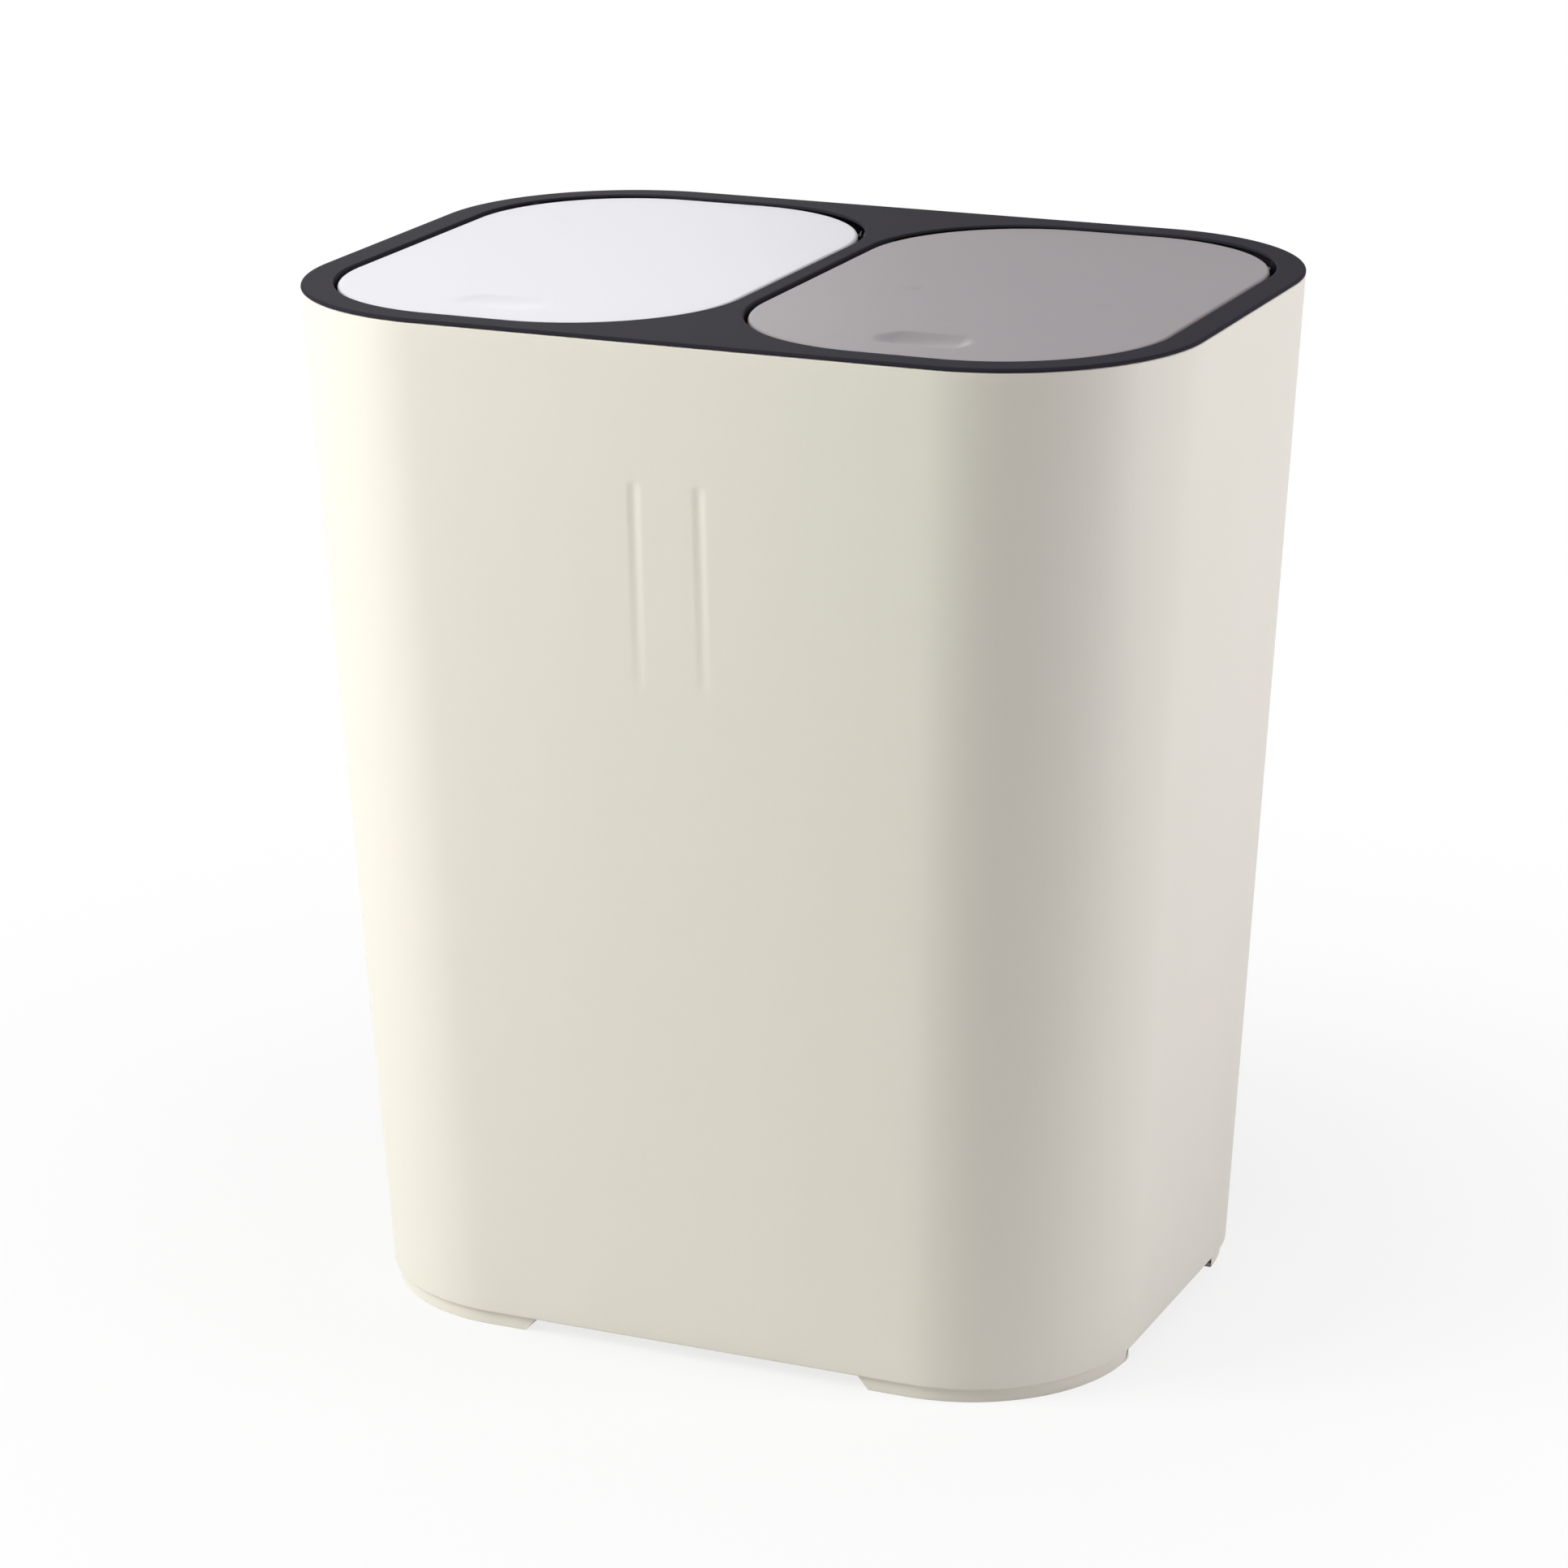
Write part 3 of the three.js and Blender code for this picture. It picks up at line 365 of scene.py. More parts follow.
FINISHES = (
    Finish(
        "cream_plastic",
        linear(237, 229, 219),
        linear(229, 225, 212),
        roughness=0.42,
        specular=0.2,
        stretch=(1.0, 1.0, 0.35),
        grain_scale=1500.0,
        grain_height=0.10,
        grain_distance=0.0003,
        speck_colour=linear(196, 188, 172),
        speck_limit=0.93,
        speck_scale=30.0,
        speck_size=0.045,
    ),
    Finish("charcoal_plastic", linear(50, 48, 55), linear(46, 44, 51), 0.55, specular=0.01),
    Finish("white_plastic", linear(235, 234, 240), linear(232, 231, 238), 0.42, specular=0.2),
    Finish("warm_grey_plastic", linear(158, 151, 154), linear(154, 147, 150), 0.42, specular=0.15),
    Finish("bucket_plastic", linear(92, 92, 96), linear(84, 84, 88), 0.55, grain_height=0.12),
    Finish("latch_plastic", linear(44, 44, 47), linear(38, 38, 41), 0.4),
    Finish("natural_plastic", linear(222, 217, 205), linear(214, 208, 195), 0.35),
    Finish("spring_steel", linear(82, 84, 90), linear(66, 68, 74), 0.38, 1.0, stretch=(1, 6, 6)),
    Finish("zinc_steel", linear(176, 180, 184), linear(150, 154, 158), 0.32, 1.0),
)


# ---------------------------------------------------------------------------- surfaces


@dataclass(frozen=True)
class Outline:
    """A rounded rectangle in plan."""

    half_width: float
    half_depth: float
    radius: float
    centre_x: float = 0.0
    tighter_rear: float = 0.0

    def inset(self, amount: float) -> "Outline":
        """The same outline drawn in, or out where the amount is negative."""
        sizes = (size - amount for size in (self.half_width, self.half_depth, self.radius))
        return Outline(*sizes, self.centre_x, self.tighter_rear)

    def points(self, per_corner: int = 24, front: np.ndarray | None = None) -> np.ndarray:
        """Points anticlockwise from the front middle: at a corner, centre + radius (cos a, sin a).

        Args:
            per_corner: steps in each quarter circle.
            front: extra X places on the front's straight stretch, rising.

        Returns:
            An array of (count, 2).
        """
        steps = np.arange(per_corner + 1) / per_corner
        signs = np.array([[1, -1], [1, 1], [-1, 1], [-1, -1]])
        angle = (np.arange(4)[:, None] - 1 + steps[None, :]) * QUARTER
        radius = self.radius - np.array([0, 1, 1, 0])[:, None, None] * self.tighter_rear
        core = np.array([self.half_width, self.half_depth]) - radius
        arc = np.stack([np.cos(angle), np.sin(angle)], axis=-1) * radius
        loop = (signs[:, None, :] * core + arc).reshape(-1, 2)
        if front is not None:
            line = np.stack([front, np.full_like(front, -self.half_depth)], axis=-1)
            loop = np.concatenate([line[len(front) // 2 :], loop, line[: len(front) // 2]])
        return loop + np.array([self.centre_x, 0.0])

    def carry(self, profile: list, per_corner: int) -> list[np.ndarray]:
        """Loops round the outline, one for each inset and height of a profile."""
        return [raised(self.inset(inset).points(per_corner), z) for inset, z in profile]


def raised(loop: np.ndarray, z: float | np.ndarray) -> np.ndarray:
    """Points in plan, lifted to a height or to a height each."""
    return np.column_stack([loop, np.broadcast_to(z, len(loop))])


def smooth(share: np.ndarray) -> np.ndarray:
    """Ease a share of 0 to 1 in and out."""
    return share * share * (3 - 2 * share)


def turned(angle: np.ndarray) -> np.ndarray:
    """Unit directions (cos a, sin a)."""
    return np.stack([np.cos(angle), np.sin(angle)], axis=-1)


def round_angles(count: int) -> np.ndarray:
    """Angles evenly round a full turn."""
    return np.arange(count) / count * 2 * math.pi


def mesh_object(name: str, points: np.ndarray, faces: list[list[int]]) -> bpy.types.Object:
    """Put vertices and faces into a smooth-shaded object at the origin.

    Args:
        name: the object's name.
        points: vertices, three numbers each.
        faces: vertex indices of each face.

    Returns:
        The new object, linked to the scene.
    """
    mesh = bpy.data.meshes.new(name)
    mesh.from_pydata(points.reshape(-1, 3).tolist(), [], faces)
    mesh.validate()
    mesh.shade_smooth()
    mesh.set_sharp_from_angle(angle=SHARP_ANGLE)
    return placed(name, mesh)


def placed(name: str, data: bpy.types.ID) -> bpy.types.Object:
    """A new object of a mesh, a lamp or a camera, linked to the scene.

    Args:
        name: the object's name.
        data: its mesh, lamp or camera.

    Returns:
        The new object.
    """
    obj = bpy.data.objects.new(name, data)
    bpy.context.scene.collection.objects.link(obj)
    return obj


def outward(obj: bpy.types.Object) -> bpy.types.Object:
    """Turn a closed mesh so that its signed volume, sum of a . (b x c) / 6, is positive.

    Args:
        obj: an object with a closed mesh.

    Returns:
        The same object.
    """
    mesh = obj.data
    mesh.calc_loop_triangles()
    corners = np.empty(len(mesh.vertices) * 3)
    mesh.vertices.foreach_get("co", corners)
    triangles = np.empty(len(mesh.loop_triangles) * 3, dtype=np.int64)
    mesh.loop_triangles.foreach_get("vertices", triangles)
    first, second, third = corners.reshape(-1, 3)[triangles.reshape(-1, 3)].transpose(1, 0, 2)
    if (first * np.cross(second, third)).sum() < 0:
        mesh.flip_normals()
    return obj


def wall_faces(rows: int, columns: int, ring: bool = False, seam: bool = True) -> list[list[int]]:
    """Quads between the rows of a grid.

    Args:
        rows: number of rows.
        columns: number of columns.
        ring: whether the last row joins the first one.
        seam: whether the last column joins the first one.

    Returns:
        The faces' vertex indices.
    """
    row = np.arange(rows if ring else rows - 1)[:, None]
    column = np.arange(columns if seam else columns - 1)[None, :]
    after = (column + 1) % columns
    above = (row + 1) % rows * columns
    here = row * columns
    quads = np.stack([here + column, here + after, above + after, above + column], axis=-1)
    return quads.reshape(-1, 4).tolist()


def skin(name: str, rows: np.ndarray, capped: bool = True) -> bpy.types.Object:
    """A surface through rows of points.

    Args:
        name: the object's name.
        rows: points as (rows, columns, 3), each row a closed loop seen anticlockwise.
        capped: whether the first and last rows are closed by flat faces.

    Returns:
        The new object.
    """
    count, columns = rows.shape[:2]
    faces = wall_faces(count, columns)
    if not capped:
        return mesh_object(name, rows, faces)
    faces.append(list(range(columns))[::-1])
    faces.append([(count - 1) * columns + i for i in range(columns)])
    return outward(mesh_object(name, rows, faces))


def collar(
    outer: np.ndarray,
    hole: float,
    length: float,
    place: Matrix,
    soft: float = 0.25 * MM,
) -> bpy.types.Object:
    """A short extrusion with a round hole along its own Z and softened outer edges.

    The outer loop's point at angle a faces the hole's point hole (cos a, sin a).

    Args:
        outer: the outside as (count, 2), one point to each direction from the hole.
        hole: the hole's radius.
        length: the extrusion's length.
        place: where it goes.
        soft: how far its outer edges are softened.

    Returns:
        The new object.
    """
    way = outer / np.linalg.norm(outer, axis=1, keepdims=True)
    drawn_in = outer - way * soft
    side = [(drawn_in, 0.0), (outer, soft), (outer, length - soft), (drawn_in, length)]
    stations = [(way * hole, 0.0), *side, (way * hole, length)]
    rows = np.stack([raised(loop, z) for loop, z in stations])
    obj = mesh_object("collar", rows, wall_faces(*rows.shape[:2], ring=True))
    obj.data.transform(place)
    return outward(obj)


def arch(half_width: float, below: float, crown: float, dome_up: bool = True) -> np.ndarray:
    """A block with one rounded side, as 48 points by their direction from its hole.

    The dome is (half_width cos a, crown sin a); the rest is a box of half_width and below.

    Args:
        half_width: half of the block's width.
        below: how far the square side reaches.
        crown: how far the rounded side reaches.
        dome_up: whether the rounded side is up.

    Returns:
        The points as (48, 2).
    """
    way = turned(round_angles(48))
    limits = np.array([half_width, below]) / np.maximum(abs(way), 1e-6)
    box = way * limits.min(axis=1, keepdims=True)
    points = np.where(way[:, 1:] > 0, way * np.array([half_width, crown]), box)
    return points if dome_up else points * np.array([1.0, -1.0])


def fillet(start: Point, corner: Point, end: Point, steps: int = 5) -> list[Point]:
    """Points of a rounded corner: start + (corner - start) sin a + (end - corner) (1 - cos a).

    Args:
        start: where the round leaves the first side.
        corner: the sharp corner.
        end: where it meets the second side.
        steps: pieces of the quarter turn.

    Returns:
        The profile's points from start to end.
    """
    angle = np.arange(steps + 1) / steps * QUARTER
    first, sharp, last = (np.array(point) for point in (start, corner, end))
    along = first + (sharp - first) * np.sin(angle)[:, None]
    curve = along + (last - sharp) * (1 - np.cos(angle))[:, None]
    return [tuple(point) for point in curve]


def rounded_profile(points: list[Point], radii: list[float]) -> list[Point]:
    """Round the corners of an open profile.

    Args:
        points: the profile's corners.
        radii: each corner's rounding; 0 keeps it sharp.

    Returns:
        The profile with its corners as arcs.
    """
    result = []
    for index, (point, radius) in enumerate(zip(points, radii)):
        if radius == 0:
            result.append(point)
            continue
        here = np.array(point)
        before = np.array(points[index - 1]) - here
        after = np.array(points[index + 1]) - here
        start = here + before / np.linalg.norm(before) * radius
        end = here + after / np.linalg.norm(after) * radius
        result += fillet(tuple(start), point, tuple(end))
    return result


def bar(
    half_u: float, half_v: float, round_edge: float, length: float, place: Matrix
) -> bpy.types.Object:
    """A bar of rounded section with softened ends, along its own Z from 0 to length.

    Args:
        half_u: half of the section along the bar's own X.
        half_v: half of the section along the bar's own Y.
        round_edge: the section's corner radius.
        length: the bar's length.
        place: where the bar goes.

    Returns:
        The new object, with its place in its mesh.
    """
    soft = min(0.3 * MM, round_edge / 2, length / 4)
    profile = fillet((soft, 0), (0, 0), (0, soft), 3)
    profile += fillet((0, length - soft), (0, length), (soft, length), 3)
    obj = skin("bar", np.stack(Outline(half_u, half_v, round_edge).carry(profile, 10)))
    obj.data.transform(place)
    return obj


def facing(axis: str, x: float, y: float, z: float) -> Matrix:
    """A placement at a point whose own Z points along the bin's x, y or z axis.

    Args:
        axis: the bin's axis that the own Z follows.
        x: the point along X.
        y: the point along Y.
        z: the point's height.

    Returns:
        The placement.
    """
    turn = {
        "x": Matrix(((0, 0, 1), (1, 0, 0), (0, 1, 0))),
        "y": Matrix(((-1, 0, 0), (0, 0, 1), (0, 1, 0))),
        "z": Matrix.Identity(3),
    }[axis]
    return Matrix.Translation((x, y, z)) @ turn.to_4x4()


def tube(
    name: str, path: np.ndarray, side: np.ndarray, radius: float, sides: int
) -> bpy.types.Object:
    """A round wire along a path: point + radius (cos a side + sin a (along x side)).

    Args:
        name: the object's name.
        path: the centre line as (count, 3).
        side: a unit direction square to the path at each point.
        radius: the wire's radius.
        sides: faces round the wire.

    Returns:
        The new object.
    """
    along = np.gradient(path, axis=0)
    up = np.cross(along, side)
    up /= np.linalg.norm(up, axis=1, keepdims=True)
    across = np.cross(up, along / np.linalg.norm(along, axis=1, keepdims=True))
    circle = turned(round_angles(sides))
    ring = circle[None, :, :1] * across[:, None, :] + circle[None, :, 1:] * up[:, None, :]
    return skin(name, path[:, None, :] + radius * ring)


def flat_sheet(outer: np.ndarray, holes: list[np.ndarray], z: float, up: bool) -> bpy.types.Object:
    """A flat sheet between an outer loop and holes, filled with triangles.

    Args:
        outer: the outer loop as (count, 2).
        holes: inner loops.
        z: the sheet's height.
        up: whether it faces up.

    Returns:
        The new object.
    """
    form = bmesh.new()
    edges = []
    for loop in (outer, *holes):
        corners = [form.verts.new((x, y, z)) for x, y in loop]
        edges += [form.edges.new((a, b)) for a, b in zip(corners, corners[1:] + corners[:1])]
    bmesh.ops.triangle_fill(form, use_beauty=True, edges=edges)
    for face in form.faces:
        if (face.normal.z > 0) != up:
            face.normal_flip()
    mesh = bpy.data.meshes.new("flat_sheet")
    form.to_mesh(mesh)
    form.free()
    return placed("flat_sheet", mesh)


def joined(name: str, pieces: list[bpy.types.Object]) -> bpy.types.Object:
    """Join objects, which are used up, into one mesh at the origin.

    Args:
        name: the joined mesh's name.
        pieces: the objects, of which the first is kept.

    Returns:
        The joined object.
    """
    first = pieces[0]
    with bpy.context.temp_override(active_object=first, selected_editable_objects=pieces):
        bpy.ops.object.join()
    first.name = name
    first.data.name = name
    return first


# ---------------------------------------------------------------------------- the bin


@dataclass
class Assembly:
    """A group of pieces that share finishes and report themselves."""

    finishes: dict[str, bpy.types.Material]

    def dress(self, piece: bpy.types.Object, finish: str, body: str | None, *nodes: str) -> None:
        """Give a new piece its finish, its body and the nodes that it stands for.

        Args:
            piece: the new object.
            finish: the finish's name.
            body: the moving body it rides on, or None for a piece attached to no body.
            nodes: CAD nodes it replaces.
        """
        piece.data.materials.clear()
        piece.data.materials.append(self.finishes[finish])
        if body:
            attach(piece, body)
        if nodes:
            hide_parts(*nodes)
        faces = len(piece.data.polygons)
        LOG.info("%s: %d faces, rides on %s", piece.name, faces, body or "two bodies")

    def keep(self, node: str, finish: str) -> None:
        """Keep a CAD node and give it a finish.

        Args:
            node: the CAD node's name.
            finish: the finish's name.
        """
        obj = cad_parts[node]
        obj.data.materials.clear()
        obj.data.materials.append(self.finishes[finish])
        LOG.info("%s: CAD node kept, %s", node, finish)


@dataclass
class Shell(Assembly):
    """The tapered outer shell with its feet and front grooves."""

    top: Outline = Outline(137.2 * MM, 98.95 * MM, 59 * MM)
    base: Outline = Outline(119.6 * MM, 89 * MM, 52 * MM)
    height: float = 310 * MM
    rim: float = 308.88 * MM
    wall: float = 2.2 * MM
    floor: float = 2.6 * MM
    floor_round: float = 3 * MM
    foot: float = 4.6 * MM
    foot_inset: float = 1.6 * MM
    foot_width: float = 14 * MM
    foot_edge: float = 0.5 * MM
    foot_overlap: float = 0.4 * MM
    foot_gap_front: float = 104 * MM
    foot_gap_side: float = 72 * MM
    foot_slope: float = 4 * MM
    edge: float = 0.8 * MM
    rim_edge: float = 0.5 * MM
    rib: tuple[float, float, float, float] = (1 * MM, 55 * MM, 0.9 * MM, 15.3 * MM)
    groove_spacing: float = 20 * MM
    groove_top: float = 270 * MM
    groove_length: float = 64 * MM
    groove_half_width: float = 2.6 * MM
    groove_depth: float = 0.3 * MM
    groove_end: float = 0.1 * MM

    def outline(self, z: float, inset: float = 0.0) -> Outline:
        """The outside in plan at a height, on straight lines from the base to the top.

        Args:
            z: the height.
            inset: how far to draw it in.

        Returns:
            The outline.
        """
        share = (z - self.foot) / (self.height - self.foot)
        sizes = (
            getattr(self.base, size) + (getattr(self.top, size) - getattr(self.base, size)) * share
            for size in ("half_width", "half_depth", "radius")
        )
        return Outline(*sizes).inset(inset)

    def groove_dip(self, x: np.ndarray, z: np.ndarray) -> np.ndarray:
        """How far the front wall is pressed in: depth(z) cos^2 across each groove.

        Args:
            x: places along the width.
            z: heights, of the same shape.

        Returns:
            The dip at each point.
        """
        down = (self.groove_top - z) / self.groove_length
        depth = self.groove_depth + (self.groove_end - self.groove_depth) * np.clip(down, 0, 1)
        ends = np.clip(down * 22, 0, 1) * np.clip((1 - down) * 10, 0, 1)
        away = abs(abs(x) - self.groove_spacing / 2)
        across = np.cos(np.clip(away / self.groove_half_width, 0, 1) * QUARTER) ** 2
        return depth * smooth(ends) * across

    def front_places(self) -> np.ndarray:
        """X places on the front wall: close together round the grooves.

        Returns:
            The places, rising.
        """
        reach = self.groove_spacing / 2 + 4 * MM
        coarse = np.linspace(reach + 4 * MM, 60 * MM, 10)
        return np.concatenate([-coarse[::-1], np.linspace(-reach, reach, 141), coarse])

    def cup(self) -> bpy.types.Object:
        """The wall and floor as one profile carried round the outline, then grooved.

        Returns:
            The new object.
        """
        low, high = self.foot, self.rim
        wall, turn = self.wall, self.wall - self.rim_edge
        outside = fillet((self.edge, low), (0, low), (0, low + self.edge))
        outside += [(0, z) for z in np.linspace(low + 4 * MM, 196 * MM, 10)]
        outside += [(0, z) for z in np.arange(200, 274, 0.8) * MM]
        outside += [(0, z) for z in np.linspace(278 * MM, high - 3 * MM, 4)]
        outside += fillet((0, high - self.rim_edge), (0, high), (self.rim_edge, high))
        inside = fillet((turn, high), (wall, high), (wall, high - self.rim_edge))
        inside.append((wall, 150 * MM))
        bottom, soft = low + self.floor, self.floor_round
        inside += fillet((wall, bottom + soft), (wall, bottom), (wall + soft, bottom))
        places = self.front_places()
        grid = np.stack(
            [raised(self.outline(z, inset).points(28, places), z) for inset, z in outside + inside]
        )
        outer = grid[: len(outside)]
        front = outer[..., 1] < -(self.base.half_depth - 12 * MM)
        outer[..., 1] += np.where(front, self.groove_dip(outer[..., 0], outer[..., 2]), 0)
        return skin("shell_cup", grid)

    def foot_piece(self, sign_x: int, sign_y: int) -> bpy.types.Object:
        """One moulded corner foot: a rim section carried round the corner, its ends sloped.

        Args:
            sign_x: which side of the bin.
            sign_y: front or back.

        Returns:
            The new object.
        """
        plan = self.outline(self.foot, self.foot_inset)
        top = self.foot + self.foot_overlap
        corners = [(self.foot_width, top), (self.foot_width, 0), (0, 0), (0, top)]
        angle = np.linspace(0, QUARTER, 33)
        rows = []
        for inset, z in rounded_profile(corners, [0, self.foot_edge, self.foot_edge, 0]):
            ring = plan.inset(inset)
            lean = self.foot_slope * (1 - z / self.foot)
            x = ring.half_width - ring.radius + ring.radius * np.sin(angle)
            y = ring.half_depth - ring.radius + ring.radius * np.cos(angle)
            x = np.concatenate([[self.foot_gap_front / 2 + lean], x, [ring.half_width]])
            y = np.concatenate([[ring.half_depth], y, [self.foot_gap_side / 2 + lean]])
            rows.append(np.stack([sign_x * x, sign_y * y, np.full_like(x, z)], axis=-1))
        grid = np.stack(rows)
        count, columns = grid.shape[:2]
        faces = wall_faces(count, columns, seam=False)
        faces.append([row * columns for row in range(count)][::-1])
        faces.append([row * columns + columns - 1 for row in range(count)])
        if sign_x * sign_y > 0:
            faces = [face[::-1] for face in faces]
        return mesh_object("foot", grid, faces)

    def build(self) -> None:
        """Make the shell, its rib and its feet as one moulded piece."""
        feet = [self.foot_piece(sign_x, sign_y) for sign_x in (-1, 1) for sign_y in (-1, 1)]
        rib = bar(*self.rib, facing("z", 0, 0, self.foot + self.floor / 2))
        shell = joined("shell_moulding", [self.cup(), *feet, rib])
        self.dress(shell, "cream_plastic", "shell", "body_shell")


@dataclass
class Lids(Assembly):
    """Both lids with their strikers, pins and springs."""

    spacing: float = 130.8 * MM
    half_width: float = 61.35 * MM
    half_depth: float = 88.35 * MM
    radius: float = 49 * MM
    top: float = 309.5 * MM
    skin: float = 2 * MM
    edge: float = 1.1 * MM
    skirt: float = 3.8 * MM
    skirt_wall: float = 1.6 * MM
    skirt_edge: float = 0.4 * MM
    skirt_root: float = 0.8 * MM
    dimple_setback: float = 20.4 * MM
    dimple_half_width: float = 13.4 * MM
    dimple_half_length: float = 11 * MM
    dimple_depths: tuple[float, float] = (0.7 * MM, 2.3 * MM)
    hinge_setback: float = 20 * MM
    hinge_drop: float = 3 * MM
    knuckle_radius: float = 2.1 * MM
    knuckle_length: float = 10 * MM
    side_play: float = 0.4 * MM
    rib_spacing: float = 46 * MM
    rib_thickness: float = 1.4 * MM
    rib_depth: float = 1.6 * MM
    rib_setbacks: tuple[float, float] = (3 * MM, 1 * MM)
    coil_radius: float = 1.45 * MM
    wire_radius: float = 0.35 * MM
    coil_pitch: float = 1.3 * MM
    coil_turns: int = 4
    lid_leg: float = 12 * MM
    frame_leg: float = 10 * MM

    @property
    def hinge_y(self) -> float:
        """The hinge axis along Y."""
        return self.half_depth - self.hinge_setback

    @property
    def hinge_z(self) -> float:
        """The hinge axis's height."""
        return self.top - self.hinge_drop

    @property
    def coil_start(self) -> float:
        """Where a torsion spring begins, clear of the lid's edge, from the lid's middle."""
        return self.reach(self.hinge_setback + self.coil_radius + self.wire_radius) + self.side_play

    def reach(self, setback: float) -> float:
        """Half of a lid's width at a distance in front of its rear edge."""
        straight = self.half_width - self.radius
        return straight + math.sqrt(self.radius**2 - (self.radius - setback) ** 2)

    def middle(self, side: Side) -> float:
        """A lid's middle along X."""
        return side.value * self.spacing / 2

    def dimple(self, loop: np.ndarray, side: Side) -> np.ndarray:
        """Dip of the press dimple: depth (1 - r^2) inside an ellipse.

        Args:
            loop: places in plan as (count, 2).
            side: which lid.

        Returns:
            The dip at each point.
        """
        centre = (self.middle(side), -self.half_depth + self.dimple_setback)
        size = (self.dimple_half_width, self.dimple_half_length)
        square = (((loop - centre) / size) ** 2).sum(axis=1)
        return self.dimple_depths[side is Side.RIGHT] * np.clip(1 - square, 0, 1)

    def panel(self, side: Side) -> bpy.types.Object:
        """A lid's outside, edge, skirt and underside as one profile drawn in to the middle.

        Args:
            side: which lid.

        Returns:
            The new object.
        """
        plan = Outline(self.half_width, self.half_depth, self.radius, self.middle(side))
        bottom, under = self.top - self.skirt, self.top - self.skin
        wall, root, soft = self.skirt_wall, self.skirt_root, self.skirt_edge
        inner_edge = wall + 1.5 * root
        profile = [(inner_edge, under)]
        profile += fillet((wall + root, under), (wall, under), (wall, under - root), 4)
        profile += rounded_profile(
            [(wall, under - MM), (wall, bottom), (0, bottom), (0, bottom + MM)],
            [0, soft, soft, 0],
        )
        profile += fillet((0, self.top - self.edge), (0, self.top), (self.edge, self.top), 10)
        rows = [
            *self.drawn_to_middle(plan.inset(inner_edge), side, under, 60)[::-1],
            *plan.carry(profile, 40),
            *self.drawn_to_middle(plan.inset(self.edge), side, self.top, 90),
        ]
        return skin("lid_panel", np.stack(rows))

    def drawn_to_middle(self, plan: Outline, side: Side, z: float, steps: int) -> list[np.ndarray]:
        """Loops shrinking from an outline towards its middle, dipped at the dimple.

        Args:
            plan: the outline.
            side: which lid.
            z: the loops' height.
            steps: the number of steps to the middle.

        Returns:
            The loops between the outline and the middle.
        """
        edge = plan.points(40)
        centre = np.array([plan.centre_x, 0.0])
        loops = [edge + (centre - edge) * share for share in np.linspace(0, 1, steps)[1:-1]]
        return [raised(loop, z - self.dimple(loop, side)) for loop in loops]

    def underside(self, side: Side) -> list[bpy.types.Object]:
        """The knuckles and ribs under a lid.

        Args:
            side: which lid.

        Returns:
            The new objects.
        """
        middle = self.middle(side)
        end = self.reach(self.hinge_setback - self.knuckle_radius) - self.side_play
        radius, length = self.knuckle_radius, self.knuckle_length
        pieces = []
        for low in (-end, end - length):
            place = facing("x", middle + low, self.hinge_y, self.hinge_z)
            pieces.append(bar(radius, radius, radius, length, place))
        floor = self.top - self.skin - self.rib_depth
        half = self.rib_thickness / 2
        section = (half * 0.9, self.rib_depth + self.skin / 2)
        long_half = self.half_depth - self.rib_setbacks[0]
        cross_half = self.half_width - self.rib_setbacks[1]
        for offset in (-self.rib_spacing / 2, self.rib_spacing / 2):
            pieces.append(bar(half, long_half, *section, facing("z", middle + offset, 0, floor)))
            pieces.append(bar(cross_half, half, *section, facing("z", middle, offset, floor)))
        return pieces

    def spring(self, side: Side) -> bpy.types.Object:
        """The torsion spring: a lid leg, a helix round the pin and a frame leg.

        The helix is x = start + pitch t, (y, z) = radius (sin 2 pi t, -cos 2 pi t).

        Args:
            side: which lid.

        Returns:
            The new object.
        """
        turns = np.linspace(0, self.coil_turns, 48 * self.coil_turns + 1)
        x = -side.value * (self.coil_start + self.wire_radius + self.coil_pitch * turns)
        angle = 2 * math.pi * turns
        outward_way = np.stack([np.zeros_like(x), np.sin(angle), -np.cos(angle)], axis=-1)
        coil = outward_way * self.coil_radius
        coil[:, 0] = x
        near = np.linspace(-self.lid_leg, -0.3 * MM, 16)
        far = np.linspace(0.3 * MM, self.frame_leg, 16)
        level = np.full(16, -self.coil_radius)
        first = np.stack([np.full(16, x[0]), near, level], axis=-1)
        last = np.stack([np.full(16, x[-1]), far, level], axis=-1)
        path = np.concatenate([first, coil, last])
        path += np.array([self.middle(side), self.hinge_y, self.hinge_z])
        down = np.tile([0.0, 0.0, -1.0], (16, 1))
        sideways = np.concatenate([down, outward_way, down])
        return tube(f"{side.word}_torsion_wire", path, sideways, self.wire_radius, 14)

    def wind(self, side: Side) -> None:
        """Place a torsion spring in the closed pose, riding on no moving body.

        Args:
            side: which lid.
        """
        wire = self.spring(side)
        self.dress(wire, "spring_steel", None, f"{side.word}_torsion_spring")
        clear = 2.3 * self.wire_radius
        lid_x = self.middle(side) - side.value * (self.coil_start + clear)
        length = self.coil_turns * self.coil_pitch
        frame_x = self.middle(side) - side.value * (self.coil_start + length - clear / 4)
        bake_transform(wire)

    def build(self) -> None:
        """Make both lids and dress what they carry."""
        for side, finish in ((Side.LEFT, "white_plastic"), (Side.RIGHT, "warm_grey_plastic")):
            word = side.word
            lid = joined(f"{word}_lid_moulding", [self.panel(side), *self.underside(side)])
            self.dress(lid, finish, f"{word}_lid_body", f"{word}_lid")
            self.keep(f"{word}_striker", "natural_plastic")
            self.keep(f"{word}_hinge_pin", "spring_steel")
            self.wind(side)


